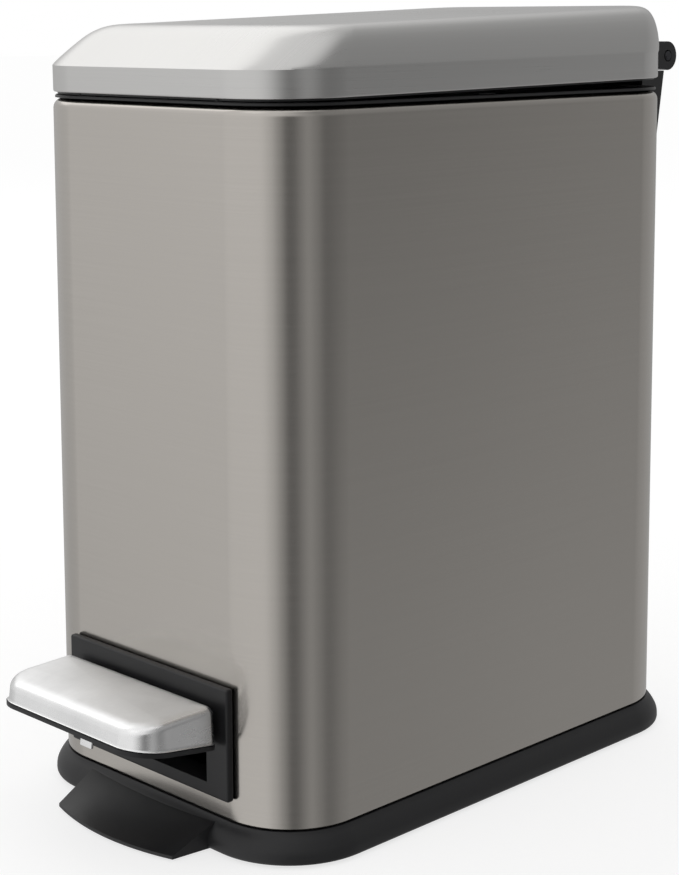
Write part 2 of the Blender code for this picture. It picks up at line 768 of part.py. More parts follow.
def channel_ring(y, half):
    top, bottom, sheet = LEVER_CHANNEL / 2, -LEVER_CHANNEL / 2, LEVER_SHEET
    inside = half - sheet
    outline = (
        (-half, bottom), (-half, top), (half, top), (half, bottom),
        (inside, bottom), (inside, top - sheet), (-inside, top - sheet), (-inside, bottom),
    )
    return [Vector((x, y, z)) for x, z in outline]


def slot(name, near, far, radius, start, end, parent):
    """A round-ended slot along X, from one centre in the YZ plane to the other."""
    lean = math.degrees(math.atan2(far[1] - near[1], far[0] - near[0]))
    outline = arc(far, radius, lean - 90, lean + 90, ARC_STEPS + 2)
    outline += arc(near, radius, lean + 90, lean + 270, ARC_STEPS + 2)
    return prism(name, outline, start, end, parent)


def build_lever(axle, material):
    stations = (
        (-LEVER_FRONT_REACH, LEVER_FRONT_HALF),
        (LEVER_TAPER_START, LEVER_FRONT_HALF),
        (LEVER_TAPER_END, LEVER_REAR_HALF),
        (LEVER_REST_REACH + ROD_RADIUS + PIVOT_GAP + LEVER_TAIL, LEVER_REAR_HALF),
    )
    lever = loft("pedal_lever", [channel_ring(*station) for station in stations], axle, material)
    side = LEVER_FRONT_HALF + OVERRUN
    hole = AXLE_RADIUS + PIVOT_GAP
    cut(lever, cylinder("lever_axle_cut", hole, "X", (0, 0, 0), -side, side, axle))
    radius = ROD_RADIUS + PIVOT_GAP
    near, far = (LEVER_LEVEL_REACH, 0), (LEVER_REST_REACH, 0)
    cut(lever, slot("lever_rod_cut", near, far, radius, -side, side, axle))
    for i, share in enumerate(LEVER_HOLE_SHARES, 1):
        centre = (0, LEVER_LEVEL_REACH * share, 0)
        top = LEVER_CHANNEL / 2
        width = LEVER_HOLE_RADIUS * (1 - share)
        cut(lever, cylinder(f"lever_light_cut_{i}", width, "Z", centre, 0, top + OVERRUN, axle))
    for name, y in pedal_screw_places():
        cut(lever, screw_hole(f"lever_screw_cut_{name}", "Z", (0, y, 0), 0, LEVER_CHANNEL, axle))


# Pedal core and cap. At rest their walls stand upright, their arched top is level and their edge tilts


def pedal_local(y, z):
    """A place in the body's frame, given in the tilted frame of the lever."""
    along, up = y - AXLE_Y, z - AXLE_Z
    cosine, sine = math.cos(LEVER_REST_ANGLE), math.sin(LEVER_REST_ANGLE)
    return along * cosine - up * sine, along * sine + up * cosine


def pedal_top(y):
    half = PEDAL_LENGTH / 2
    across = (y - PEDAL_REAR_Y + half) / half
    return PEDAL_TOP_Z + PEDAL_ARCH * (1 - across * across)


def pedal_edge(y):
    return PEDAL_EDGE_Z + (PEDAL_REAR_Y - y) * math.tan(LEVER_REST_ANGLE)


def pedal_roof(along):
    """Height of the cap's top over a place along the lever."""
    y = AXLE_Y + along * math.cos(LEVER_REST_ANGLE)
    return pedal_local(y, pedal_top(y))[1]


def pedal_outline(inset, height):
    """The pedal's outline from above, in the body's frame."""
    radii = PEDAL_FRONT_RADIUS - inset, max(PEDAL_REAR_RADIUS - inset, CAP_SHEET)
    front, rear = PEDAL_FRONT_Y + inset, PEDAL_REAR_Y - max(inset, 0)
    return rounded_ring(PEDAL_HALF_WIDTH - inset, front, rear, *radii, height)


def pedal_ring(inset, height):
    return [Vector((x, *pedal_local(y, z))) for x, y, z in pedal_outline(inset, height)]


def cap_rings(inset, drop, bottom):
    """The cap's skin at an inset: from the middle of its top, over the round edge, down to its lower edge."""
    middle = PEDAL_REAR_Y - PEDAL_LENGTH / 2
    rings = []
    for share in CAP_SHARES:
        ring = []
        for x, y, _ in pedal_outline(CAP_ROUND + CAP_DRAFT, 0):
            y = middle + (y - middle) * share
            ring.append(Vector((x * share, *pedal_local(y, pedal_top(y) - drop))))
        rings.append(ring)
    for i in range(1, ARC_STEPS + 1):
        turn = math.pi / 2 * i / ARC_STEPS
        out = inset + CAP_DRAFT + (CAP_ROUND - inset) * (1 - math.sin(turn))
        down = drop + (CAP_ROUND_DEPTH - drop) * (1 - math.cos(turn))
        rings.append(pedal_ring(out, lambda y, down=down: pedal_top(y) - down))
    rings.append(pedal_ring(inset, bottom))
    return rings


def pedal_screw_places():
    rear = pedal_local(PEDAL_REAR_Y, PEDAL_EDGE_Z)[0]
    return [("front", PEDAL_SCREW_IN - LEVER_FRONT_REACH), ("rear", rear - PEDAL_SCREW_IN)]


def build_pedal_cap(axle, material):
    outer = cap_rings(0, 0, pedal_edge)
    inner = cap_rings(CAP_SHEET, CAP_SHEET, pedal_edge)
    cap = loft("pedal_cap", outer + inner[::-1], axle, material)
    side = LEVER_FRONT_HALF + SIDE_GAP
    rear, bottom = pedal_local(PEDAL_REAR_Y, PEDAL_EDGE_Z)
    top = LEVER_CHANNEL / 2 + CORE_ROOF
    notch = (-side, rear - 2 * PEDAL_REAR_RADIUS, bottom - OVERRUN), (side, rear + OVERRUN, top)
    cut(cap, box("cap_lever_notch", *notch, axle))


def build_pedal_core(axle, material):
    inset = CAP_SHEET + SEAT_GAP

    def lip_top(y):
        return pedal_edge(y) - SEAT_GAP

    def lip_bottom(y):
        return lip_top(y) - LIP_THICKNESS

    rings = [pedal_ring(-LIP_PROUD, lip_bottom), pedal_ring(-LIP_PROUD, lip_top), pedal_ring(inset, lip_top)]
    rings += cap_rings(inset, inset, lip_top)[-2::-1]
    core = loft("pedal_core", rings, axle, material)
    front = pedal_local(PEDAL_FRONT_Y, pedal_edge(PEDAL_FRONT_Y))[0]
    rear, edge = pedal_local(PEDAL_REAR_Y, PEDAL_EDGE_Z)
    low_z = edge - 2 * LIP_THICKNESS
    side = LEVER_FRONT_HALF + SEAT_GAP
    nose = -LEVER_FRONT_REACH - SEAT_GAP
    channel = (-side, nose, low_z), (side, rear + LIP_PROUD + OVERRUN, LEVER_CHANNEL / 2 + SEAT_GAP)
    cut(core, box("core_channel_cut", *channel, axle))
    inside = PEDAL_HALF_WIDTH - inset - CORE_RIM
    span = (inside - side - CORE_RIM) / CORE_POCKETS
    roof = pedal_roof(front + CAP_ROUND) - inset - CORE_ROOF
    for name, direction in (("left", -1), ("right", 1)):
        for i in range(CORE_POCKETS):
            start = direction * (side + CORE_RIM + span * i)
            end = start + direction * (span - CORE_RIB)
            low_x, high_x = min(start, end), max(start, end)
            deep = PEDAL_FRONT_RADIUS / 2 if i else CORE_RIM
            low = (low_x, front + inset + CORE_RIM + deep, low_z)
            high = (high_x, rear - inset - CORE_RIM - CAP_SHEET, roof)
            cut(core, box(f"core_pocket_{name}_{i + 1}", low, high, axle))
    for name, y in pedal_screw_places():
        top = pedal_roof(y) - inset - CORE_ROOF / 2
        cut(core, screw_hole(f"core_screw_cut_{name}", "Z", (0, y, 0), 0, top, axle))


def build_pedal_screws(axle, material):
    under_web = LEVER_CHANNEL / 2 - LEVER_SHEET - SEAT_GAP
    for name, y in pedal_screw_places():
        length = pedal_roof(y) - CAP_SHEET - SEAT_GAP - CORE_ROOF / 2 - under_web - SCREW_DEEP / 2
        screw(f"pedal_screw_{name}", "Z", (0, y, under_web), length, 1, axle, material)


# Axle and bearings


def build_bearings(root, materials):
    for name, x in bearing_places():
        low, high = x - BEARING_WIDTH / 2, x + BEARING_WIDTH / 2
        crown = AXLE_RADIUS + BEARING_CROWN
        outline = arc((AXLE_Y, AXLE_Z), crown, 0, 180, 2 * ARC_STEPS)
        bottom = FLOOR_TOP + SEAT_GAP
        foot = BEARING_HALF_LENGTH + BEARING_WIDTH / 2
        outline += [(AXLE_Y - crown, bottom + BEARING_WIDTH), (AXLE_Y - foot, bottom)]
        outline += [(AXLE_Y + foot, bottom), (AXLE_Y + crown, bottom + BEARING_WIDTH)]
        bearing = prism(f"lever_bearing_{name}", outline, low, high, root, materials["acetal"])
        centre = (0, AXLE_Y, AXLE_Z)
        hole = AXLE_RADIUS + PIVOT_GAP
        cut(bearing, cylinder(f"bearing_bore_{name}", hole, "X", centre, low - OVERRUN, high + OVERRUN, root))
        length = AXLE_Z - AXLE_RADIUS - SCREW_DEEP - bottom
        top = bottom + length
        cut(bearing, screw_hole(f"bearing_screw_hole_{name}", "Z", (x, AXLE_Y, 0), 0, top - SCREW_DEEP, root))
        head = (x, AXLE_Y, FOOT_PROUD + SCREW_HEAD_HEIGHT - SEAT_GAP)
        reach = top - 2 * SCREW_DEEP - head[2]
        screw(f"bearing_screw_{name}", "Z", head, reach, 1, root, materials["wire"])


def axle_half():
    return LEVER_FRONT_HALF + SIDE_GAP + BEARING_WIDTH + WASHER_STAND + WASHER_THICKNESS + AXLE_END


def build_axle(root, material):
    half = axle_half()
    chamfer = AXLE_RADIUS / 5
    profile = [
        (AXLE_RADIUS - chamfer, -half),
        (AXLE_RADIUS, chamfer - half),
        (AXLE_RADIUS, half - chamfer),
        (AXLE_RADIUS - chamfer, half),
    ]
    centre = (0, AXLE_Y, AXLE_Z)
    turned("lever_axle", profile, "X", centre, root, material)
    outside = LEVER_FRONT_HALF + SIDE_GAP + BEARING_WIDTH + WASHER_STAND
    washer("axle_clip_right", AXLE_RADIUS, (outside, AXLE_Y, AXLE_Z), root, material)
    left = (-outside - WASHER_THICKNESS, AXLE_Y, AXLE_Z)
    washer("axle_clip_left", AXLE_RADIUS, left, root, material)


# Push rod, in the body's frame


def build_rod(slide, material):
    low_end = -LEVER_REAR_HALF - WASHER_STAND - WASHER_THICKNESS - ROD_END
    high_end = -CENTRE_ARM_HALF - WASHER_STAND - WASHER_THICKNESS - ROD_END
    corners = (
        (low_end, ROD_LOW_Y, ROD_LOW_Z),
        (ROD_X, ROD_LOW_Y, ROD_LOW_Z),
        (ROD_X, ROD_LOW_Y, CRANK_Z),
        (ROD_X, HOOK_Y, CRANK_Z),
        (ROD_X, HOOK_Y, HOOK_Z),
        (high_end, HOOK_Y, HOOK_Z),
    )
    points = wire_path(corners, ROD_BEND, WIRE_STEPS)
    wire("push_rod", points, ROD_RADIUS, slide, material)
    low = (-LEVER_REAR_HALF - WASHER_STAND - WASHER_THICKNESS, ROD_LOW_Y, ROD_LOW_Z)
    washer("rod_clip_lower", ROD_RADIUS, low, slide, material)
    high = (-CENTRE_ARM_HALF - WASHER_STAND - WASHER_THICKNESS, HOOK_Y, HOOK_Z)
    washer("rod_clip_upper", ROD_RADIUS, high, slide, material)


# Hinge bracket


def bracket_depth(z):
    share = (BRACKET_TOP - z) / BRACKET_HEIGHT
    return BRACKET_TOP_DEPTH + (BRACKET_BOTTOM_DEPTH - BRACKET_TOP_DEPTH) * share


def bracket_rear(z):
    """The wedge's rear face at a height."""
    return HALF_DEPTH + bracket_depth(z)


def bracket_ring(half, z, inset):
    """One level of the wedge, reaching forward into the shell's space, rounded at its two rear corners."""
    rear = bracket_rear(z) - inset
    front = HALF_DEPTH - BODY_CORNER / 2
    radius = max(min(BRACKET_ROUND, bracket_depth(z) / 2) - inset / 2, BRACKET_WALL / 2)
    outline = [(half, front)]
    outline += arc((half - radius, rear - radius), radius, 0, 90, ARC_STEPS)
    outline += arc((radius - half, rear - radius), radius, 90, 180, ARC_STEPS)
    outline += [(-half, front)]
    return [Vector((x, y, z)) for x, y in outline]


def bracket_rings(inset):
    """The wedge from its bottom, with two round corners there, to its top, drawn in by the inset."""
    corner = (HINGE_HALF_WIDTH - BRACKET_CORNER, BRACKET_BOTTOM + BRACKET_CORNER)
    levels = arc(corner, BRACKET_CORNER - inset, -90, 0, ARC_STEPS)
    levels.append((HINGE_HALF_WIDTH - inset, BRACKET_TOP - inset))
    return [bracket_ring(half, z, inset) for half, z in levels]


def build_bracket(root, material):
    bracket = loft("hinge_bracket", bracket_rings(0), root, material)
    cut(bracket, loft("bracket_hollow", bracket_rings(BRACKET_WALL), root))
    for i, (x, z) in enumerate(rear_screw_places(), 1):
        start, end = HALF_DEPTH - BOSS_RADIUS, bracket_rear(z) - BRACKET_WALL / 2
        join(bracket, cylinder(f"bracket_boss_{i}", BOSS_RADIUS, "Y", (x, 0, z), start, end, root))
    add_barrels(bracket, root)
    cut_bracket_mouth(bracket, root)
    shell_space = [body_ring(-SEAT_GAP, z) for z in (BRACKET_BOTTOM - OVERRUN, SHELL_TOP + SEAT_GAP)]
    cut(bracket, loft("bracket_shell_cut", shell_space, root))
    seam_front = HALF_DEPTH + SEAT_GAP
    low = (-HALF_WIDTH, 0, SHELL_TOP - OVERRUN)
    high = (HALF_WIDTH, seam_front, BRACKET_TOP + OVERRUN)
    cut(bracket, box("bracket_seam_cut", low, high, root))
    for i, (x, z) in enumerate(rear_screw_places(), 1):
        end = HALF_DEPTH + screw_bite(z)
        cut(bracket, screw_hole(f"bracket_screw_cut_{i}", "Y", (x, 0, z), 0, end, root))


def screw_bite(z):
    """How far a bracket screw's hole runs in from the shell's outside, short of the wedge's rear face."""
    return bracket_depth(z) - BRACKET_WALL / 2 - SEAT_GAP


def barrel_ends():
    return BARREL_START, HINGE_HALF_WIDTH - ARM_WIDTH - SIDE_GAP


def add_barrels(bracket, root):
    start, end = barrel_ends()
    centre = (0, HINGE_Y, HINGE_Z)
    outline = arc((HINGE_Y, HINGE_Z), KNUCKLE_RADIUS, -60, 240, 3 * ARC_STEPS)
    foot = BRACKET_TOP - BRACKET_WALL / 2
    rear = bracket_rear(BRACKET_TOP) - BRACKET_WALL / 3
    outline += [(rear - 2 * BRACKET_WEB, foot), (rear, foot)]
    for name, side in (("left", -1), ("right", 1)):
        low, high = sorted((side * start, side * end))
        join(bracket, prism(f"barrel_{name}", outline, low, high, root))
    hole, side = PIN_RADIUS + PIVOT_GAP, end + OVERRUN
    cut(bracket, cylinder("barrel_bore", hole, "X", centre, -side, side, root, steps=PIN_STEPS))


def cut_bracket_mouth(bracket, root):
    """The opening in the wedge's top that the rod and the lid's lever work in."""
    half = BRACKET_MOUTH_HALF
    rear = HINGE_Y + KNUCKLE_RADIUS
    low = (-half, HALF_DEPTH - OVERRUN, BRACKET_TOP - 2 * BRACKET_WALL)
    high = (half, rear, BRACKET_TOP + OVERRUN)
    cut(bracket, box("bracket_mouth_cut", low, high, root))


def build_backplate(root, material):
    rear = SHELL_REAR_INSIDE - SEAT_GAP
    front = rear - PLATE_SHEET
    low, high = (-PLATE_HALF_WIDTH, front, PLATE_BOTTOM), (PLATE_HALF_WIDTH, rear, PLATE_TOP)
    plate = box("hinge_backplate", low, high, root, material)
    reach = ROD_LOW_Y - ROD_RADIUS - GUIDE_MARGIN
    lug_low = (ROD_X - GUIDE_HALF_WIDTH, reach, PLATE_BOTTOM)
    lug_high = (ROD_X + GUIDE_HALF_WIDTH, front + PLATE_SHEET / 2, PLATE_BOTTOM + PLATE_SHEET)
    join(plate, box("guide_lug", lug_low, lug_high, root))
    hole = ROD_RADIUS + PIVOT_GAP
    middle, through = (ROD_X, ROD_LOW_Y, PLATE_BOTTOM), PLATE_SHEET + OVERRUN
    cut(plate, cylinder("guide_cut", hole, "Z", middle, -OVERRUN, through, root, steps=PIN_STEPS))
    cut(plate, rod_slot("plate_slot_cut", front - OVERRUN, rear + OVERRUN, root))
    for i, (x, z) in enumerate(rear_screw_places(), 1):
        cut(plate, screw_hole(f"plate_screw_cut_{i}", "Y", (x, 0, z), front - OVERRUN, rear + OVERRUN, root))


def build_bracket_screws(root, material):
    front = SHELL_REAR_INSIDE - 2 * SEAT_GAP - PLATE_SHEET
    for i, (x, z) in enumerate(rear_screw_places(), 1):
        length = HALF_DEPTH + screw_bite(z) - SEAT_GAP - front
        screw(f"bracket_screw_{i}", "Y", (x, front, z), length, 1, root, material)


def build_hinge_pin(root, material):
    half = HINGE_HALF_WIDTH + PIN_PROUD
    chamfer = PIN_PROUD
    profile = [
        (PIN_RADIUS - chamfer, -half),
        (PIN_RADIUS, chamfer - half),
        (PIN_RADIUS, half - chamfer),
        (PIN_RADIUS - chamfer, half),
    ]
    turned("hinge_pin", profile, "X", (0, HINGE_Y, HINGE_Z), root, material, PIN_STEPS)


# Lid, in the frame of the hinge pin, as it lies level


def skirt_bottom():
    return -LID_SKIRT_DROP


def lid_ring(insets, radii, height):
    inset_front, inset_side, inset_rear = insets
    front = -HINGE_SETBACK - BODY_DEPTH + inset_front
    rear = -HINGE_SETBACK - inset_rear
    return rounded_ring(HALF_WIDTH - inset_side, front, rear, *radii, height)


def lid_band_ring(inset, height):
    radius = BODY_CORNER - inset
    return lid_ring((inset, inset, inset), (radius, radius), height)


def lid_top(y):
    """Height of the dome's upper edge over the top of the band."""
    along = (y + HINGE_SETBACK + BODY_DEPTH) / BODY_DEPTH
    return LID_RISE + LID_SLOPE * BODY_DEPTH * along - LID_SAG * (1 - (2 * along - 1) ** 2)


def dome_inset(depth, bulge, share):
    """How far the dome has drawn in from the band at a share of the way up its profile."""
    return depth * (1 - (1 - share) ** (2 / bulge))


def dome_rings(offset):
    """Rings from the band's top to the crown's edge, for a skin lying the offset inside the cover's."""
    crease = skirt_bottom() + LID_BAND
    rings = []
    for i in range(1, DOME_STEPS + 1):
        share = i / DOME_STEPS
        height = 1 - (1 - share) ** 2
        lean = share * math.pi / 2
        inward, down = offset * math.cos(lean), offset * math.sin(lean)
        eased = share**LID_CORNER_EASE
        tops = (LID_TOP_FRONT_RADIUS, LID_TOP_REAR_RADIUS)
        radii = [BODY_CORNER + (top - BODY_CORNER) * eased - inward for top in tops]
        insets = (
            dome_inset(LID_FRONT_DEPTH, LID_FRONT_BULGE, share) + inward,
            dome_inset(LID_SIDE_DEPTH, LID_SIDE_BULGE, share) + inward,
            dome_inset(LID_REAR_DEPTH, LID_REAR_BULGE, share) + inward,
        )

        def level(y, height=height, down=down):
            return crease + lid_top(y) * height - down

        rings.append(lid_ring(insets, radii, level))
    return rings


def crown_rings(edge):
    """Rings from the crown's edge in towards its middle, rising by the crown."""
    low = min(point.y for point in edge)
    high = max(point.y for point in edge)
    middle = (low + high) / 2
    rings = []
    for share in CROWN_SHARES:
        rise = LID_CROWN * (1 - share * share)
        ring = []
        for point in edge:
            y = middle + (point.y - middle) * share
            z = point.z + lid_top(y) - lid_top(point.y) + rise
            ring.append(Vector((point.x * share, y, z)))
        rings.append(ring)
    return rings


def lid_skin(offset):
    """A whole skin from the middle of the crown down to the top of the band."""
    dome = dome_rings(offset)
    crown = crown_rings(dome[-1])
    return crown[::-1] + dome[::-1]


def build_lid_cover(lid, material):
    bottom, sheet = skirt_bottom(), LID_SHEET
    crease = bottom + LID_BAND
    bend = LID_SHEET
    rings = lid_skin(0)
    rings += [
        lid_band_ring(0, crease),
        lid_band_ring(0, bottom + bend),
        lid_band_ring(bend / 3, bottom + bend / 3),
        lid_band_ring(bend, bottom),
        lid_band_ring(LID_HEM, bottom),
        lid_band_ring(LID_HEM, bottom + sheet),
        lid_band_ring(sheet, bottom + 2 * sheet),
        lid_band_ring(sheet, crease),
    ]
    rings += lid_skin(sheet)[::-1]
    cover = loft("lid_cover", rings, lid, material)
    half = HINGE_HALF_WIDTH + ARM_PLATE_GAP
    low = (-half, -HINGE_SETBACK - BODY_CORNER / 2, bottom - OVERRUN)
    high = (half, -HINGE_SETBACK + OVERRUN, ARM_PLATE_TOP + ARM_PLATE_GAP)
    cut(cover, box("cover_arm_notch", low, high, lid))


def arm_plate_front():
    return -HINGE_SETBACK - SEAT_GAP - ARM_PLATE


def pocket_bounds():
    """The space in the liner's rear wall that the hinge arms' plate fills, with its gap."""
    half = HINGE_HALF_WIDTH + ARM_PLATE_GAP
    return half, arm_plate_front() - ARM_PLATE_GAP, ARM_PLATE_TOP + ARM_PLATE_GAP


def build_liner(lid, material):
    bottom = skirt_bottom()
    crease = bottom + LID_BAND
    outer = LID_SHEET + SEAT_GAP
    inner = outer + LINER_WALL
    flange_top = bottom - SEAT_GAP
    flange_bottom = bottom - LINER_DROP - SEAT_GAP
    clear = LID_HEM + SEAT_GAP
    rings = lid_skin(outer)
    rings += [
        lid_band_ring(outer, crease),
        lid_band_ring(clear, bottom + 3 * LID_SHEET),
        lid_band_ring(clear, flange_top),
        lid_band_ring(LINER_SETBACK, flange_top),
        lid_band_ring(LINER_SETBACK, flange_bottom),
        lid_band_ring(LINER_FLANGE, flange_bottom),
        lid_band_ring(LINER_FLANGE, bottom + SEAT_GAP),
        lid_band_ring(inner, bottom + 3 * LID_SHEET),
        lid_band_ring(inner, crease),
    ]
    rings += lid_skin(inner)[::-1]
    liner = loft("lid_liner", rings, lid, material)
    middle = outer + LINER_WALL / 2
    core = lid_skin(middle) + [lid_band_ring(middle, crease), lid_band_ring(middle, flange_bottom)]
    core = loft("liner_core", core, lid)
    add_pocket(liner, core, lid)
    add_liner_ribs(liner, core, lid)
    for name, x, y in buffer_places():
        top = flange_bottom + BUFFER_HEIGHT - BUFFER_PROUD + SEAT_GAP
        radius = BUFFER_RADIUS + SEAT_GAP / 2
        centre, start = (x, y, 0), flange_bottom - OVERRUN
        cut(liner, cylinder(f"buffer_cut_{name}", radius, "Z", centre, start, top, lid, steps=PIN_STEPS))


def add_pocket(liner, core, lid):
    """The recess for the hinge arms' plate, walled on the inside."""
    half, front, top = pocket_bounds()
    bottom = skirt_bottom() - LINER_DROP - SEAT_GAP
    wall = POCKET_WALL
    block_low = (-half - wall, front - wall, bottom + LINER_DROP / 2)
    block = box("pocket_block", block_low, (half + wall, 0, top + wall), lid)
    combine(block, core, "INTERSECT")
    join(liner, block)
    pocket_low = (-half, front, bottom - OVERRUN)
    cut(liner, box("pocket_cut", pocket_low, (half, OVERRUN, top), lid))
    for name, x in arm_screw_places():
        start = front - wall - OVERRUN
        cut(liner, screw_hole(f"liner_screw_cut_{name}", "Y", (x, 0, arm_screw_height()), start, 0, lid))


def add_liner_ribs(liner, core, lid):
    """Stiffening ribs across the inside of the liner's roof."""
    middle = -HINGE_SETBACK - HALF_DEPTH
    crease = skirt_bottom() + LID_BAND
    for i, share in enumerate(LINER_RIB_SHARES, 1):
        y = middle + share * HALF_DEPTH
        roof = crease + lid_top(y) - LID_SHEET - SEAT_GAP - LINER_WALL
        low = (-HALF_WIDTH, y - LINER_RIB_WIDTH / 2, roof - LINER_RIB_DEPTH)
        high = (HALF_WIDTH, y + LINER_RIB_WIDTH / 2, roof + LINER_RIB_DEPTH)
        rib = box(f"liner_rib_{i}", low, high, lid)
        combine(rib, core, "INTERSECT")
        join(liner, rib)


def buffer_places():
    inset = (LINER_SETBACK + LINER_FLANGE) / 2
    x = HALF_WIDTH - BUFFER_IN_X
    y = -HINGE_SETBACK - BODY_DEPTH + inset
    return [("left", -x, y), ("right", x, y)]


def build_buffers(lid, material):
    bottom = skirt_bottom() - LINER_DROP - SEAT_GAP - BUFFER_PROUD
    for name, x, y in buffer_places():
        centre = (x, y, bottom)
        cylinder(f"lid_buffer_{name}", BUFFER_RADIUS, "Z", centre, 0, BUFFER_HEIGHT, lid, material, PIN_STEPS)


def arm_outline():
    """The side of an outer arm: a round knuckle with a level top edge that runs forward to the lid."""
    front = -HINGE_SETBACK - SEAT_GAP - ARM_PLATE / 2
    outline = arc((0, 0), KNUCKLE_RADIUS, 90, -90, 2 * ARC_STEPS)
    return outline + [(front, ARM_TAPER - KNUCKLE_RADIUS), (front, KNUCKLE_RADIUS)]


def lever_angle():
    """Direction of the centre arm's slot in degrees, below the way forward, in the lid's own frame."""
    return 180 + math.degrees(LID_OPENING / 2 - LID_NOSE_DOWN)


def slot_place(radius):
    turn = math.radians(lever_angle())
    return radius * math.cos(turn), radius * math.sin(turn)


def slot_reach():
    near = HOOK_SETBACK
    far = HOOK_SETBACK / math.cos(LID_OPENING / 2)
    return near, far


def centre_arm_outline():
    """The knuckle, the slotted lever that hangs from it, and the bar that carries both to the lid."""
    end_radius = ROD_RADIUS + HOOK_SLOT_PLAY + HOOK_WALL
    lean = lever_angle()
    far = slot_place(slot_reach()[1])
    outline = arc((0, 0), KNUCKLE_RADIUS, 90, lean + 90 - 360, 2 * ARC_STEPS)
    outline += arc(far, end_radius, lean + 90 - 360, lean - 90 - 360, ARC_STEPS)
    plate = -HINGE_SETBACK - SEAT_GAP - ARM_PLATE / 2
    return outline + [(plate, -end_radius / 2), (plate, KNUCKLE_RADIUS)]


def arm_screw_places():
    x = (BARREL_START + HINGE_HALF_WIDTH - ARM_WIDTH) / 2
    return [("left", -x), ("right", x)]


def arm_screw_height():
    return ARM_PLATE_TOP - KNUCKLE_RADIUS


def build_arms(lid, material):
    rear = -HINGE_SETBACK - SEAT_GAP
    low = (-HINGE_HALF_WIDTH, rear - ARM_PLATE, skirt_bottom())
    arms = box("lid_hinge_arms", low, (HINGE_HALF_WIDTH, rear, ARM_PLATE_TOP), lid, material)
    inner = HINGE_HALF_WIDTH - ARM_WIDTH
    join(arms, prism("arm_left", arm_outline(), -HINGE_HALF_WIDTH, -inner, lid))
    join(arms, prism("arm_right", arm_outline(), inner, HINGE_HALF_WIDTH, lid))
    join(arms, prism("arm_centre", centre_arm_outline(), -CENTRE_ARM_HALF, CENTRE_ARM_HALF, lid))
    hole = PIN_RADIUS + PIVOT_GAP
    side = HINGE_HALF_WIDTH + OVERRUN
    cut(arms, cylinder("arm_bore", hole, "X", (0, 0, 0), -side, side, lid, steps=PIN_STEPS))
    near, far = (slot_place(radius) for radius in slot_reach())
    radius = ROD_RADIUS + HOOK_SLOT_PLAY
    half = CENTRE_ARM_HALF + OVERRUN
    cut(arms, slot("arm_slot_cut", near, far, radius, -half, half, lid))
    for name, x in arm_screw_places():
        start, end = rear - ARM_PLATE - OVERRUN, rear + OVERRUN
        cut(arms, screw_hole(f"arm_screw_cut_{name}", "Y", (x, 0, arm_screw_height()), start, end, lid))


def build_arm_screws(lid, material):
    head = arm_plate_front() - ARM_PLATE_GAP - POCKET_WALL - SEAT_GAP
    length = -HINGE_SETBACK - SEAT_GAP - head
    for name, x in arm_screw_places():
        screw(f"arm_screw_{name}", "Y", (x, head, arm_screw_height()), length, 1, lid, material)


# Inner bucket, in the body's frame


def bucket_ring(inset, height, rear_room=BUCKET_REAR_ROOM):
    return body_ring(inset, height, rear_room)


def build_bucket(lift, material):
    outside, wall = BUCKET_OUTSIDE, BUCKET_WALL
    low_in = outside + BUCKET_DRAFT
    heel, bottom, top = BUCKET_HEEL, BUCKET_BOTTOM, BUCKET_TOP
    under_flange = top - BUCKET_FLANGE
    flange = FLANGE_OUTSIDE
    recess = low_in + BUCKET_RECESS_IN
    profile = [(recess + BUCKET_RECESS, bottom + BUCKET_RECESS), (recess, bottom)]
    profile += [(low_in + heel - r, z) for r, z in arc((0, bottom + heel), heel, 270, 360, ARC_STEPS)]
    rings = [bucket_ring(*level) for level in profile]
    rings += [bucket_ring(outside, under_flange)]
    rings += [body_ring(flange, under_flange), body_ring(flange, top), bucket_ring(outside + wall, top)]
    inner = [(low_in + wall, bottom + heel), (low_in + heel, bottom + wall + BUCKET_RECESS)]
    rings += [bucket_ring(*level) for level in inner]
    bucket = loft("bucket", rings, lift, material)
    radius = BAIL_RADIUS + PIVOT_GAP
    ear_top = BAIL_Z + radius + EAR_CROWN
    for name, side in (("left", -1), ("right", 1)):
        outer = side * (HALF_WIDTH - EAR_OUTSIDE)
        low_x, high_x = sorted((outer, outer - side * EAR_THICKNESS))
        low = (low_x, -EAR_HALF_LENGTH, top - EAR_ROOT)
        join(bucket, box(f"bucket_ear_{name}", low, (high_x, EAR_HALF_LENGTH, ear_top), lift))
    side = HALF_WIDTH
    cut(bucket, cylinder("bail_bore", radius, "X", (0, 0, BAIL_Z), -side, side, lift, steps=PIN_STEPS))


def build_bail(swing, material):
    """The handle's wire in the frame of its pivot: it lies forward along the rim, its ends turned out."""
    tip = HALF_WIDTH - EAR_OUTSIDE - BAIL_END_IN
    side = HALF_WIDTH - BAIL_IN
    front = BAIL_IN - HALF_DEPTH
    round_corner = BODY_CORNER - BAIL_IN
    turn_in = [(-tip, 0, 0), (-side, 0, 0), (-side, -2 * BAIL_BEND, 0)]
    across = [(-side, -2 * BAIL_BEND, 0), (-side, front, 0), (side, front, 0), (side, -2 * BAIL_BEND, 0)]
    turn_out = [(side, -2 * BAIL_BEND, 0), (side, 0, 0), (tip, 0, 0)]
    points = wire_path(turn_in, BAIL_BEND, WIRE_STEPS)[:-1]
    points += wire_path(across, round_corner, WIRE_STEPS)
    points += wire_path(turn_out, BAIL_BEND, WIRE_STEPS)[1:]
    wire("bucket_handle", points, BAIL_RADIUS, swing, material)


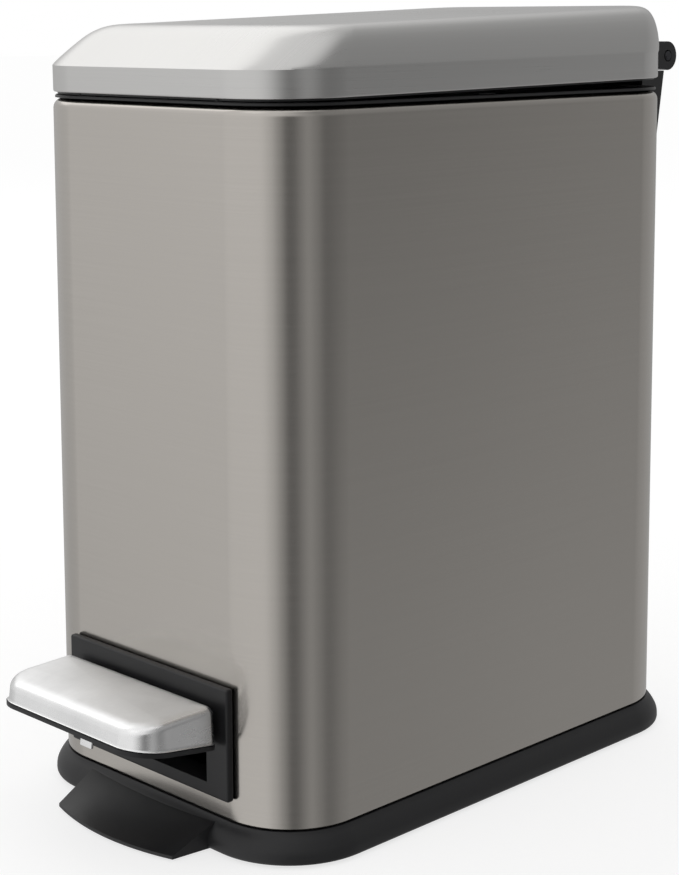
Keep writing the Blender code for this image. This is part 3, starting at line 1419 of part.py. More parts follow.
def main():
    clear_scene()
    looks = make_materials()
    root = empty("bin_root", (0, ORIGIN_SHIFT, 0))
    build_shell(root, looks["steel"])
    build_base(root, looks["black"])
    build_feet(root, looks["rubber"])
    build_rim(root, looks["black"])
    build_frame(root, looks["black"])
    build_bearings(root, looks)
    build_axle(root, looks["wire"])
    build_bracket(root, looks["black"])
    build_backplate(root, looks["wire"])
    build_bracket_screws(root, looks["wire"])
    build_hinge_pin(root, looks["wire"])

    axle = empty("pedal_pivot", (0, AXLE_Y, AXLE_Z), root, -LEVER_REST_ANGLE)
    build_lever(axle, looks["wire"])
    build_pedal_core(axle, looks["black"])
    build_pedal_cap(axle, looks["polished"])
    build_pedal_screws(axle, looks["wire"])

    slide = empty("rod_slide", (0, 0, 0), root)
    build_rod(slide, looks["wire"])

    lid = empty("lid_hinge", (0, HINGE_Y, HINGE_Z), root, LID_NOSE_DOWN)
    build_lid_cover(lid, looks["steel"])
    build_liner(lid, looks["black"])
    build_buffers(lid, looks["rubber"])
    build_arms(lid, looks["black"])
    build_arm_screws(lid, looks["wire"])

    lift = empty("bucket_lift", (0, 0, 0), root)
    build_bucket(lift, looks["grey"])
    swing = empty("bail_swing", (0, 0, BAIL_Z), lift)
    build_bail(swing, looks["wire"])


main()
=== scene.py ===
"""The looks of a slim steel pedal bin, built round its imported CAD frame. Metres, +Z up, the pedal towards -Y.

The pieces that show are rebuilt from the same sizes as the CAD solids, with finer curves, rounded edges and
moulded or pressed detail, and each stands for its CAD node. The lever's bright tip alone is added. All other nodes
keep their shapes and get materials.
"""

import math

import bmesh
import bpy
from mathutils import Matrix, Vector


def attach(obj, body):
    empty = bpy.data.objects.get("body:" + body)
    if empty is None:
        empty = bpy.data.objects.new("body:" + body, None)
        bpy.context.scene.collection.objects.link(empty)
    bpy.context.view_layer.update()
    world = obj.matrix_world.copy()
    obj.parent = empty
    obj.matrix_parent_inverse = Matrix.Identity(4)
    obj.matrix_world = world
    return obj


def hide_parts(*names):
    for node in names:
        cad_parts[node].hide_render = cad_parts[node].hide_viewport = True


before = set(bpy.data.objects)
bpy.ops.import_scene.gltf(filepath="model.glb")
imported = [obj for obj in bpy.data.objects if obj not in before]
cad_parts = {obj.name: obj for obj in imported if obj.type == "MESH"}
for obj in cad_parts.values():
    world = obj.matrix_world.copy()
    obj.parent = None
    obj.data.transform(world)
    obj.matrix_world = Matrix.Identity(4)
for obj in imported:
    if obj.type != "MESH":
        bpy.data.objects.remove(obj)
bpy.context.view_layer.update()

# Facets. A lid skin has steps down its dome and steps over its crown.
CORNER_STEPS = 24
ARC_STEPS = 10
ROUND_STEPS = 48
FLARE_STEPS = 4
FLARE_TOE_STEPS = 6
TOE_SECTIONS = 40
TOE_STEPS = 24
CAP_TOP_STEPS = 12
COVER_STEPS = (36, 16)
COVER_INSIDE_STEPS = (12, 6)
LINER_OUTSIDE_STEPS = (12, 5)
LINER_INSIDE_STEPS = (18, 8)
LINER_CORE_STEPS = (8, 4)
SHARP_ANGLE = math.radians(32)
SOFTEN_ANGLE = math.radians(40)
MERGE_SHARE = 0.02

SIDES = (("left", -1), ("right", 1))

# Clearances, and how far a cutter runs past what it cuts
SEAT_GAP = 0.0003
PIVOT_GAP = 0.0003
SIDE_GAP = 0.0005
OVERRUN = 0.002

# Body, a folded steel sleeve. ROLL_SHOWN is its top edge as drawn, ROLL_RADIUS places what lies in it.
BODY_WIDTH = 0.140
BODY_DEPTH = 0.217
BODY_HEIGHT = 0.244
BODY_CORNER = 0.029
SHELL_WALL = 0.0006
ROLL_RADIUS = 0.0025
ROLL_LIP = 0.0015
ROLL_SHOWN = 0.0036
HEM_RADIUS = 0.0010
HEM_WIDTH = 0.0030

# Base, a moulded tray with a flared skirt
BASE_HEIGHT = 0.0108
BASE_FLARE = 0.0045
BASE_FLARE_HEIGHT = 0.0026
BASE_TOE_RADIUS = 0.0016
BASE_SKIN = 0.0018
BASE_FLOOR = 0.0024
BASE_WALL = 0.0018
BASE_UPSTAND = 0.0090
BASE_BEAD = 0.0018
BASE_BEAD_HEIGHT = 0.0012
BASE_GROOVE_DEPTH = 0.0065
FLARE_OUT_AND_DOWN = ((0.02, 0.00), (0.16, 0.14), (0.50, 0.36), (0.83, 0.66), (0.97, 0.88))

# Toe plate, the scooped tongue in front of the base
TOE_ROOT_HALF = 0.0345
TOE_TIP_HALF = 0.0320
TOE_REACH = 0.0235
TOE_BOW = 0.0050
TOE_EDGE = 0.0012
TOE_SCOOP = 0.0026
TOE_ROOT_DROP = 0.0006
TOE_WALL = 0.0022

# Rubber feet
FOOT_RADIUS = 0.0060
FOOT_PROUD = 0.0010
FOOT_IN_X = 0.0230
FOOT_IN_Y = 0.0260

# Top rim, which the bucket hangs in
RIM_SETBACK = 0.0007
RIM_FLANGE = 0.0010
RIM_WALL = 0.0016
RIM_BEAD = 0.0008
RIM_BEAD_HEIGHT = 0.0016
RIM_LEDGE_DROP = 0.0047
RIM_LEDGE = 0.0026
RIM_LEDGE_THICKNESS = 0.0016

# Pedal frame, the bezel of the pedal opening
FRAME_HALF_WIDTH = 0.0435
FRAME_HEIGHT = 0.0399
FRAME_RAISE = 0.0079
FRAME_PROUD = 0.0030
FRAME_BEVEL = 0.0009
OPENING_HALF_WIDTH = 0.0325
OPENING_HEIGHT = 0.0248
OPENING_RAISE = 0.0049
COLLAR_WALL = 0.0016
COLLAR_DEPTH = 0.0060

# Pedal lever, a pressed channel that rocks on the axle
AXLE_SETBACK = 0.0685
AXLE_RAISE = 0.0177
LEVER_FRONT_HALF = 0.0090
LEVER_CHANNEL = 0.0080
LEVER_FRONT_REACH = 0.0970
TONGUE_HALF_WIDTH = 0.0032
TONGUE_SHEET = 0.0012
TONGUE_DROP = 0.0046

# Pedal core and cap
PEDAL_HALF_WIDTH = 0.0405
PEDAL_STANDOFF = 0.0016
PEDAL_LENGTH = 0.0338
PEDAL_FRONT_RADIUS = 0.0120
PEDAL_REAR_RADIUS = 0.0030
PEDAL_TOP_RAISE = 0.0408
PEDAL_ARCH = 0.0021
PEDAL_CREST = 0.22
PEDAL_EDGE_RAISE = 0.0289
CAP_SHEET = 0.0008
CAP_ROUND = 0.0050
CAP_ROUND_DEPTH = 0.0032
CAP_DRAFT = 0.0004
CAP_FLARE = 0.0007
CAP_FLARE_HEIGHT = 0.0012
LIP_THICKNESS = 0.0015
LIP_PROUD = 0.0010
CORE_RIM = 0.0018
CORE_ROOF = 0.0016
CORE_RIB = 0.0016
CORE_POCKETS = 2
PEDAL_SCREW_IN = 0.0050

# Push rod
ROD_RADIUS = 0.0016
ROD_STANDOFF = 0.0099
ROD_FLOOR_ROOM = 0.0057

# Hinge. KNUCKLE_SHOWN is its round ends as drawn, KNUCKLE_RADIUS places what goes by them.
HINGE_SETBACK = 0.0174
HINGE_RAISE = 0.0126
LID_NOSE_DROP = 0.00305
LID_OPENING = math.radians(75)
PIN_RADIUS = 0.0020
KNUCKLE_RADIUS = 0.0065
KNUCKLE_SHOWN = 0.0058
ARM_WIDTH = 0.0080
ARM_TAPER = 0.0045
HINGE_SIDE_ROOM = 0.0220
CENTRE_ARM_HALF = 0.0036
BARREL_START = 0.0106
HOOK_SETBACK = 0.0125
HOOK_SLOT_PLAY = 0.0009
HOOK_WALL = 0.0022
ARM_PLATE = 0.0025
ARM_PLATE_TOP = 0.0072
ARM_PLATE_GAP = 0.0003
ARM_EDGE = 0.0004

# Hinge bracket, the hollow wedge behind the shell
BRACKET_TOP_DEPTH = 0.0158
BRACKET_BOTTOM_DEPTH = 0.0040
BRACKET_HEIGHT = 0.0721
BRACKET_CORNER = 0.0140
BRACKET_ROUND = 0.0015
BRACKET_WALL = 0.0018
BRACKET_TOP_GAP = 0.00015
BRACKET_WEB = 0.0034
BRACKET_MOUTH_HALF = 0.0102

# Screws
SCREW_RADIUS = 0.0015

# Lid cover, a pressed steel dome over a straight band
LID_BAND = 0.0086
LID_RISE = 0.0139
LID_SLOPE = 0.0210
LID_SAG = 0.0008
LID_CROWN = 0.0006
LID_SHEET = 0.0006
LID_HEM = 0.0012
LID_HEM_TURNS = (0.5, 1.0)
LID_FRONT_DEPTH = 0.0275
LID_SIDE_DEPTH = 0.0182
LID_REAR_DEPTH = 0.0079
LID_FRONT_STRAIGHT = 0.50
LID_SIDE_BULGE = 3.89
LID_REAR_BULGE = 3.96
LID_TOP_FRONT_RADIUS = 0.0180
LID_TOP_REAR_RADIUS = 0.0141
LID_CORNER_EASE = 0.65
LID_SKIRT_DROP = 0.0064
LID_SKIRT_SHOW = 0.0009

# Lid liner
LINER_WALL = 0.0016
LINER_DROP = 0.0012
LINER_FLANGE = 0.0042
LINER_RIB_DEPTH = 0.0040
LINER_RIB_WIDTH = 0.0014
LINER_RIB_SHARES = (-0.5, 0.0, 0.5)
POCKET_WALL = 0.0030

# Inner bucket
BUCKET_FLANGE = 0.0017
BUCKET_WALL = 0.0016
BUCKET_CLEAR = 0.0003
BUCKET_DRAFT = 0.0070
BUCKET_BOTTOM_RAISE = 0.0480
BUCKET_HEEL = 0.0050
BUCKET_RECESS = 0.0012
BUCKET_RECESS_IN = 0.0100
BUCKET_REAR_ROOM = 0.0050
BUCKET_SIDE_PLAY = 0.0010
BUCKET_EDGE = 0.0003

EAR_HALF_LENGTH = 0.0045
EAR_SETBACK = 0.0024
EAR_THICKNESS = 0.0040
EAR_ROOT = 0.0040
EAR_CROWN = 0.0010

# Bucket handle, a wire bail that lies on the bucket's rim
BAIL_RADIUS = 0.0013

# Places that follow from the sizes above
HALF_WIDTH = BODY_WIDTH / 2
HALF_DEPTH = BODY_DEPTH / 2
SHELL_BOTTOM = FOOT_PROUD + BASE_HEIGHT
SHELL_TOP = SHELL_BOTTOM + BODY_HEIGHT
SHELL_REAR_INSIDE = HALF_DEPTH - SHELL_WALL
FLOOR_TOP = FOOT_PROUD + BASE_FLOOR
RIM_TOP = SHELL_TOP + SEAT_GAP + RIM_FLANGE
SPIGOT_OUTSIDE = ROLL_RADIUS + ROLL_LIP + SEAT_GAP
SPIGOT_INSIDE = SPIGOT_OUTSIDE + RIM_WALL
LEDGE_TOP = SHELL_TOP - RIM_LEDGE_DROP
AXLE_Y = -HALF_DEPTH + AXLE_SETBACK
AXLE_Z = SHELL_BOTTOM + AXLE_RAISE
HINGE_Y = HALF_DEPTH + HINGE_SETBACK
HINGE_Z = SHELL_TOP + HINGE_RAISE
LID_NOSE_DOWN = math.atan(LID_NOSE_DROP / (BODY_DEPTH + HINGE_SETBACK))
HINGE_HALF_WIDTH = HALF_WIDTH - HINGE_SIDE_ROOM
PEDAL_REAR_Y = -HALF_DEPTH - SEAT_GAP - FRAME_PROUD - PEDAL_STANDOFF
PEDAL_FRONT_Y = PEDAL_REAR_Y - PEDAL_LENGTH
PEDAL_EDGE_Z = SHELL_BOTTOM + PEDAL_EDGE_RAISE
PEDAL_TOP_Z = SHELL_BOTTOM + PEDAL_TOP_RAISE
FRONT_REACH = LIP_PROUD - PEDAL_FRONT_Y
REAR_REACH = HINGE_Y + KNUCKLE_RADIUS
ORIGIN_SHIFT = (FRONT_REACH - REAR_REACH) / 2
ROD_LOW_Y = SHELL_REAR_INSIDE - ROD_STANDOFF
LEVER_LEVEL_REACH = ROD_LOW_Y - AXLE_Y
ROD_LOW_Z = FLOOR_TOP + ROD_FLOOR_ROOM
LEVER_REST_ANGLE = math.atan((AXLE_Z - ROD_LOW_Z) / LEVER_LEVEL_REACH)
BRACKET_TOP = HINGE_Z - KNUCKLE_SHOWN - BRACKET_TOP_GAP
BRACKET_BOTTOM = BRACKET_TOP - BRACKET_HEIGHT
BUCKET_TOP = LEDGE_TOP + SEAT_GAP + BUCKET_FLANGE
BUCKET_BOTTOM = SHELL_BOTTOM + BUCKET_BOTTOM_RAISE
BUCKET_OUTSIDE = SPIGOT_INSIDE + RIM_LEDGE + BUCKET_CLEAR
BAIL_Z = BUCKET_TOP + SEAT_GAP + BAIL_RADIUS
FLANGE_OUTSIDE = SPIGOT_INSIDE + BUCKET_SIDE_PLAY
EAR_OUTSIDE = FLANGE_OUTSIDE + EAR_SETBACK
SKIRT_BOTTOM = -LID_SKIRT_DROP
CREASE = SKIRT_BOTTOM + LID_BAND
OPENING_BOTTOM = SHELL_BOTTOM + FRAME_RAISE + OPENING_RAISE
LEVER_NOSE = -LEVER_FRONT_REACH - SEAT_GAP
ARM_PLATE_REAR = -HINGE_SETBACK - SEAT_GAP
ARM_PLATE_FRONT = ARM_PLATE_REAR - ARM_PLATE
SLOT_TURN = math.pi + LID_OPENING / 2 - LID_NOSE_DOWN
SLOT_REACH = (HOOK_SETBACK, HOOK_SETBACK / math.cos(LID_OPENING / 2))
SLOT_ENDS = [(reach * math.cos(SLOT_TURN), reach * math.sin(SLOT_TURN)) for reach in SLOT_REACH]

# Frames of the moving parts, at rest
BODY_FRAME = Matrix.Translation((0, ORIGIN_SHIFT, 0))
PEDAL_FRAME = BODY_FRAME @ Matrix.Translation((0, AXLE_Y, AXLE_Z)) @ Matrix.Rotation(-LEVER_REST_ANGLE, 4, "X")
LID_FRAME = BODY_FRAME @ Matrix.Translation((0, HINGE_Y, HINGE_Z)) @ Matrix.Rotation(LID_NOSE_DOWN, 4, "X")


# Building blocks


def add_object(name, data):
    made = bpy.data.objects.new(name, data)
    bpy.context.scene.collection.objects.link(made)
    return made


def to_object(name, shape):
    bmesh.ops.recalc_face_normals(shape, faces=shape.faces)
    mesh = bpy.data.meshes.new(name)
    shape.to_mesh(mesh)
    shape.free()
    return add_object(name, mesh)


def loft(name, rings, closed=False):
    """One body over rings of equal count, its ends capped, or joined to each other when closed."""
    shape = bmesh.new()
    loops = [[shape.verts.new(point) for point in ring] for ring in rings]
    pairs = list(zip(loops, loops[1:]))
    if closed:
        pairs.append((loops[-1], loops[0]))
    else:
        shape.faces.new(loops[0])
        shape.faces.new(loops[-1])
    for below, above in pairs:
        for i, corner in enumerate(below):
            j = (i + 1) % len(below)
            shape.faces.new((corner, below[j], above[j], above[i]))
    return to_object(name, shape)


def prism(name, outline, start, end):
    """A (y, z) outline extruded along X."""
    return loft(name, [[Vector((x, y, z)) for y, z in outline] for x in (start, end)])


def box(name, low, high):
    shape = bmesh.new()
    bmesh.ops.create_cube(shape, size=1)
    low, high = Vector(low), Vector(high)
    bmesh.ops.scale(shape, vec=high - low, verts=shape.verts)
    bmesh.ops.translate(shape, vec=(low + high) / 2, verts=shape.verts)
    return to_object(name, shape)


def slab(name, half, depth, height):
    """A box as wide to the left as to the right, between two depths and two heights."""
    return box(name, (-half, depth[0], height[0]), (half, depth[1], height[1]))


def cylinder(name, radius, axis, centre, start, end):
    forward = Vector([float(axis == letter) for letter in "XYZ"])
    side = Vector((forward.y, forward.z, forward.x))
    other = forward.cross(side)
    turns = [math.tau * i / ROUND_STEPS for i in range(ROUND_STEPS)]
    spokes = [(side * math.cos(turn) + other * math.sin(turn)) * radius for turn in turns]
    middles = [Vector(centre) + forward * distance for distance in (start, end)]
    return loft(name, [[middle + spoke for spoke in spokes] for middle in middles])


def arc(centre, radius, start, end, steps=ARC_STEPS):
    """Points of a plane arc, its angles in degrees."""
    turns = [math.radians(start + (end - start) * i / steps) for i in range(steps + 1)]
    return [(centre[0] + radius * math.cos(turn), centre[1] + radius * math.sin(turn)) for turn in turns]


def rounded_ring(half_width, front, rear, front_radius, rear_radius, height):
    """A rounded rectangle seen from above, from its front right corner round to its front left one."""
    flat = []
    for side, y, radius, start in (
        (1, front + front_radius, front_radius, -90),
        (1, rear - rear_radius, rear_radius, 0),
        (-1, rear - rear_radius, rear_radius, 90),
        (-1, front + front_radius, front_radius, 180),
    ):
        flat += arc((side * (half_width - radius), y), radius, start, start + 90, CORNER_STEPS)
    return [Vector((x, y, height(y) if callable(height) else height)) for x, y in flat]


def body_ring(inset, height, rear_room=0):
    ends = inset - HALF_DEPTH, HALF_DEPTH - inset - rear_room
    return rounded_ring(HALF_WIDTH - inset, *ends, *[BODY_CORNER - inset] * 2, height)


def body_rings(profile):
    return [body_ring(*level) for level in profile]


def bake(piece):
    """Turns the piece's modifiers into its mesh and takes its cutters away."""
    helpers = [step.object for step in piece.modifiers if step.type == "BOOLEAN"]
    seen = piece.evaluated_get(bpy.context.evaluated_depsgraph_get())
    mesh = bpy.data.meshes.new_from_object(seen)
    piece.modifiers.clear()
    piece.data = mesh
    mesh.name = piece.name
    for helper in helpers:
        bpy.data.objects.remove(helper, do_unlink=True)
    return piece


def combine(piece, helper, operation):
    step = piece.modifiers.new(helper.name, "BOOLEAN")
    step.operation = operation
    step.object = helper
    step.solver = "EXACT"


def cut(piece, helper):
    combine(piece, helper, "DIFFERENCE")


def join(piece, helper):
    combine(piece, helper, "UNION")


def join_pair(piece, name, outline, start, end):
    """Adds the same prism on the left and on the right."""
    for side_name, side in SIDES:
        join(piece, prism(f"{name}_{side_name}", outline, *sorted((side * start, side * end))))


def soften(piece, width, segments=2):
    """Merges points that all but meet, then rounds the piece's sharp edges."""
    mesh = bake(piece).data
    shape = bmesh.new()
    shape.from_mesh(mesh)
    bmesh.ops.remove_doubles(shape, verts=shape.verts, dist=width * MERGE_SHARE)
    bmesh.ops.dissolve_degenerate(shape, edges=shape.edges, dist=width * MERGE_SHARE)
    shape.to_mesh(mesh)
    shape.free()
    step = piece.modifiers.new("soften", "BEVEL")
    step.width = width
    step.segments = segments
    step.limit_method = "ANGLE"
    step.angle_limit = SOFTEN_ANGLE
    step.use_clamp_overlap = True
    step.harden_normals = False
    return bake(piece)


def settle(piece, place, body, material, slot_name, *nodes):
    """Puts a finished piece in its place in the row frame, dresses it and hangs it on its CAD body."""
    bake(piece)
    piece.data.transform(place)
    piece.data.materials.clear()
    piece.data.materials.append(material)
    piece.data.polygons.foreach_set("material_index", [0] * len(piece.data.polygons))
    piece.data.shade_smooth()
    piece.data.set_sharp_from_angle(angle=SHARP_ANGLE)
    weigh = piece.modifiers.new("face_weights", "WEIGHTED_NORMAL")
    weigh.keep_sharp = True
    bake(piece)
    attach(piece, body)
    if nodes:
        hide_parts(*nodes)


def curve_through(points, steps):
    """More points on a smooth curve, a Catmull-Rom one, through the given points."""
    ends = [points[0], *points, points[-1]]
    curve = []
    for i in range(1, len(ends) - 2):
        a, b, c, d = ends[i - 1 : i + 3]
        for k in range(steps):
            t = k / steps
            weights = (
                -t / 2 + t * t - t**3 / 2,
                1 - 2.5 * t * t + 1.5 * t**3,
                t / 2 + 2 * t * t - 1.5 * t**3,
                (t**3 - t * t) / 2,
            )
            curve.append(tuple(sum(w * p[axis] for w, p in zip(weights, (a, b, c, d))) for axis in (0, 1)))
    return curve + [points[-1]]


# Body sleeve


def build_sleeve():
    bottom, top, wall = SHELL_BOTTOM, SHELL_TOP, SHELL_WALL
    roll = (ROLL_SHOWN, top - ROLL_SHOWN)
    hem = (HEM_RADIUS, bottom + HEM_RADIUS)
    lip = ROLL_RADIUS + ROLL_LIP
    profile = [
        (HEM_WIDTH, bottom), *arc(hem, HEM_RADIUS, 270, 180), *arc(roll, ROLL_SHOWN, 180, 90), (lip, top),
        (lip, top - wall), *arc(roll, ROLL_SHOWN - wall, 90, 180), *arc(hem, HEM_RADIUS - wall, 180, 270),
        (HEM_WIDTH, bottom + wall),
    ]
    sleeve = loft("body_sleeve", body_rings(profile), closed=True)
    room = COLLAR_WALL + SEAT_GAP
    depth = (-HALF_DEPTH - OVERRUN, -HALF_DEPTH + wall + OVERRUN)
    height = (OPENING_BOTTOM - room, OPENING_BOTTOM + OPENING_HEIGHT + room)
    cut(sleeve, slab("opening_cut", OPENING_HALF_WIDTH + room, depth, height))
    return bake(sleeve)


# Base tray


def flare_profile():
    top = SHELL_BOTTOM - SEAT_GAP
    drop = top - (FOOT_PROUD + BASE_FLARE_HEIGHT)
    skirt = [(-BASE_FLARE * out, top - drop * down) for out, down in FLARE_OUT_AND_DOWN]
    middle = (BASE_TOE_RADIUS - BASE_FLARE, FOOT_PROUD + BASE_TOE_RADIUS)
    skirt.append((-BASE_FLARE, middle[1]))
    return curve_through(skirt, FLARE_STEPS)[:-1] + arc(middle, BASE_TOE_RADIUS, 180, 270, FLARE_TOE_STEPS)


def base_profile():
    ledge = SHELL_BOTTOM - SEAT_GAP
    wall = HEM_WIDTH + SEAT_GAP
    inner = wall + BASE_WALL
    bead_bottom = SHELL_BOTTOM + SHELL_WALL + SEAT_GAP
    bead_top = bead_bottom + BASE_BEAD_HEIGHT
    upstand = SHELL_BOTTOM + BASE_UPSTAND
    groove = FOOT_PROUD + BASE_GROOVE_DEPTH
    skin_foot = BASE_SKIN - BASE_FLARE
    middle = 2 * inner
    web = wall + BASE_WALL / 2
    return [
        (middle, FOOT_PROUD), (web, FOOT_PROUD), (web, groove), (BASE_SKIN / 2, groove),
        (skin_foot, FOOT_PROUD + BASE_FLARE_HEIGHT), (skin_foot, FOOT_PROUD), *reversed(flare_profile()),
        (wall, ledge), (wall, bead_bottom), (wall - BASE_BEAD, bead_bottom), (wall - BASE_BEAD, bead_top),
        (wall, bead_top + BASE_BEAD), (wall, upstand), (inner, upstand), (inner, FLOOR_TOP), (middle, FLOOR_TOP),
    ]


def toe_section(x, root_half, tip_half, reach, wall):
    """One slice of the toe plate across X: the scooped top from root to tip, then the flat underside."""
    share = x / root_half
    root_y = BASE_SKIN / 2 - HALF_DEPTH
    front_y = -HALF_DEPTH - reach + TOE_BOW * share * share
    root_z = SHELL_BOTTOM - SEAT_GAP - TOE_ROOT_DROP - wall
    tip_z = FOOT_PROUD + TOE_EDGE - wall
    dip = TOE_SCOOP * (1 - share * share)
    under = FOOT_PROUD - wall
    points = []
    for i in range(TOE_STEPS + 1):
        along = i / TOE_STEPS
        narrowing = 1 + (tip_half / root_half - 1) * along
        y = root_y + (front_y - root_y) * along
        z = root_z + (tip_z - root_z) * along - dip * math.sin(math.pi * along)
        points.append(Vector((x * narrowing, y, z)))
    return points + [Vector((points[-1].x, front_y, under)), Vector((x, root_y, under))]


def toe_solid(name, root_half, *sizes):
    places = [root_half * (2 * i / TOE_SECTIONS - 1) for i in range(TOE_SECTIONS + 1)]
    return loft(name, [toe_section(x, root_half, *sizes) for x in places])


def build_base():
    base = loft("base_tray", body_rings(base_profile()))
    join(base, toe_solid("toe_plate", TOE_ROOT_HALF, TOE_TIP_HALF, TOE_REACH, 0))
    hollow = (TOE_ROOT_HALF - TOE_WALL, TOE_TIP_HALF - TOE_WALL, TOE_REACH - TOE_WALL, TOE_WALL)
    cut(base, toe_solid("toe_hollow", *hollow))
    pocket = 2 * FOOT_PROUD + SEAT_GAP
    for end, y in (("front", FOOT_IN_Y - HALF_DEPTH), ("rear", HALF_DEPTH - FOOT_IN_Y)):
        for name, side in SIDES:
            centre = (side * (HALF_WIDTH - FOOT_IN_X), y, 0)
            cut(base, cylinder(f"foot_cut_{end}_{name}", FOOT_RADIUS + SEAT_GAP, "Z", centre, -OVERRUN, pocket))
    return bake(base)


# Rim ring in the body's top edge


def build_rim():
    under, lip_under = SHELL_TOP + SEAT_GAP, SHELL_TOP - SHELL_WALL - SEAT_GAP
    ledge_in = SPIGOT_INSIDE + RIM_LEDGE
    ledge_bottom = LEDGE_TOP - RIM_LEDGE_THICKNESS
    bead = SPIGOT_OUTSIDE - RIM_BEAD
    chamfer = RIM_FLANGE / 3
    return loft("rim_ring", body_rings([
        (RIM_SETBACK, under), (RIM_SETBACK, RIM_TOP - chamfer), (RIM_SETBACK + chamfer, RIM_TOP),
        (SPIGOT_INSIDE, RIM_TOP), (SPIGOT_INSIDE, LEDGE_TOP),
        (ledge_in, LEDGE_TOP, BUCKET_REAR_ROOM), (ledge_in, ledge_bottom, BUCKET_REAR_ROOM),
        (SPIGOT_OUTSIDE, ledge_bottom), (SPIGOT_OUTSIDE, lip_under - RIM_BEAD_HEIGHT - RIM_BEAD),
        (bead, lip_under - RIM_BEAD_HEIGHT), (bead, lip_under), (SPIGOT_OUTSIDE, lip_under), (SPIGOT_OUTSIDE, under),
    ]), closed=True)


# Pedal bezel


def build_bezel():
    seat, front = -HALF_DEPTH - SEAT_GAP, -HALF_DEPTH - SEAT_GAP - FRAME_PROUD
    rear = -HALF_DEPTH + SHELL_WALL + COLLAR_DEPTH
    bottom = SHELL_BOTTOM + FRAME_RAISE
    bezel = slab("pedal_bezel", FRAME_HALF_WIDTH, (front, seat), (bottom, bottom + FRAME_HEIGHT))
    soften(bezel, FRAME_BEVEL, segments=3)
    side, wall = OPENING_HALF_WIDTH, COLLAR_WALL
    low, high = OPENING_BOTTOM, OPENING_BOTTOM + OPENING_HEIGHT
    join(bezel, slab("collar", side + wall, (front + FRAME_PROUD / 2, rear), (low - wall, high + wall)))
    cut(bezel, slab("mouth_cut", side, (front - OVERRUN, rear + OVERRUN), (low, high)))
    return soften(bezel, FRAME_BEVEL / 3)


# Pedal


def pedal_local(y, z):
    along, up = y - AXLE_Y, z - AXLE_Z
    cosine, sine = math.cos(LEVER_REST_ANGLE), math.sin(LEVER_REST_ANGLE)
    return along * cosine - up * sine, along * sine + up * cosine


def pedal_top(y):
    front_span = PEDAL_LENGTH * (1 - PEDAL_CREST)
    across = (y - PEDAL_FRONT_Y - front_span) / front_span
    return PEDAL_TOP_Z + PEDAL_ARCH * (1 - across * across)


def pedal_edge(y):
    return PEDAL_EDGE_Z + (PEDAL_REAR_Y - y) * math.tan(LEVER_REST_ANGLE)


def pedal_outline(inset, height):
    radii = PEDAL_FRONT_RADIUS - inset, max(PEDAL_REAR_RADIUS - inset, CAP_SHEET)
    front, rear = PEDAL_FRONT_Y + inset, PEDAL_REAR_Y - max(inset, 0)
    return rounded_ring(PEDAL_HALF_WIDTH - inset, front, rear, *radii, height)


def pedal_ring(inset, height):
    return [Vector((x, *pedal_local(y, z))) for x, y, z in pedal_outline(inset, height)]


def quarter_turns():
    return [math.pi / 2 * i / ARC_STEPS for i in range(1, ARC_STEPS + 1)]


def cap_rings(inset, drop, bottom):
    middle = PEDAL_REAR_Y - PEDAL_LENGTH / 2
    rings = []
    for i in range(1, CAP_TOP_STEPS + 1):
        share = i / CAP_TOP_STEPS
        ring = []
        for x, y, _ in pedal_outline(CAP_ROUND + CAP_DRAFT, 0):
            y = middle + (y - middle) * share
            ring.append(Vector((x * share, *pedal_local(y, pedal_top(y) - drop))))
        rings.append(ring)
    for turn in quarter_turns():
        out = inset + CAP_DRAFT + (CAP_ROUND - inset) * (1 - math.sin(turn))
        down = drop + (CAP_ROUND_DEPTH - drop) * (1 - math.cos(turn))
        rings.append(pedal_ring(out, lambda y, down=down: pedal_top(y) - down))
    rings.append(pedal_ring(inset, bottom))
    return rings


def build_cap():
    rings = cap_rings(0, 0, lambda y: pedal_edge(y) + CAP_FLARE_HEIGHT)
    for turn in quarter_turns():
        up = CAP_FLARE_HEIGHT * (1 - math.sin(turn))
        rings.append(pedal_ring(CAP_FLARE * (math.cos(turn) - 1), lambda y, up=up: pedal_edge(y) + up))
    cap = loft("pedal_cover", rings + cap_rings(CAP_SHEET, CAP_SHEET, pedal_edge)[::-1])
    rear, bottom = pedal_local(PEDAL_REAR_Y, PEDAL_EDGE_Z)
    depth = (rear - 2 * PEDAL_REAR_RADIUS, rear + OVERRUN)
    height = (bottom - OVERRUN, LEVER_CHANNEL / 2 + CORE_ROOF)
    cut(cap, slab("lever_notch", LEVER_FRONT_HALF + SIDE_GAP, depth, height))
    return soften(cap, CAP_SHEET / 4)


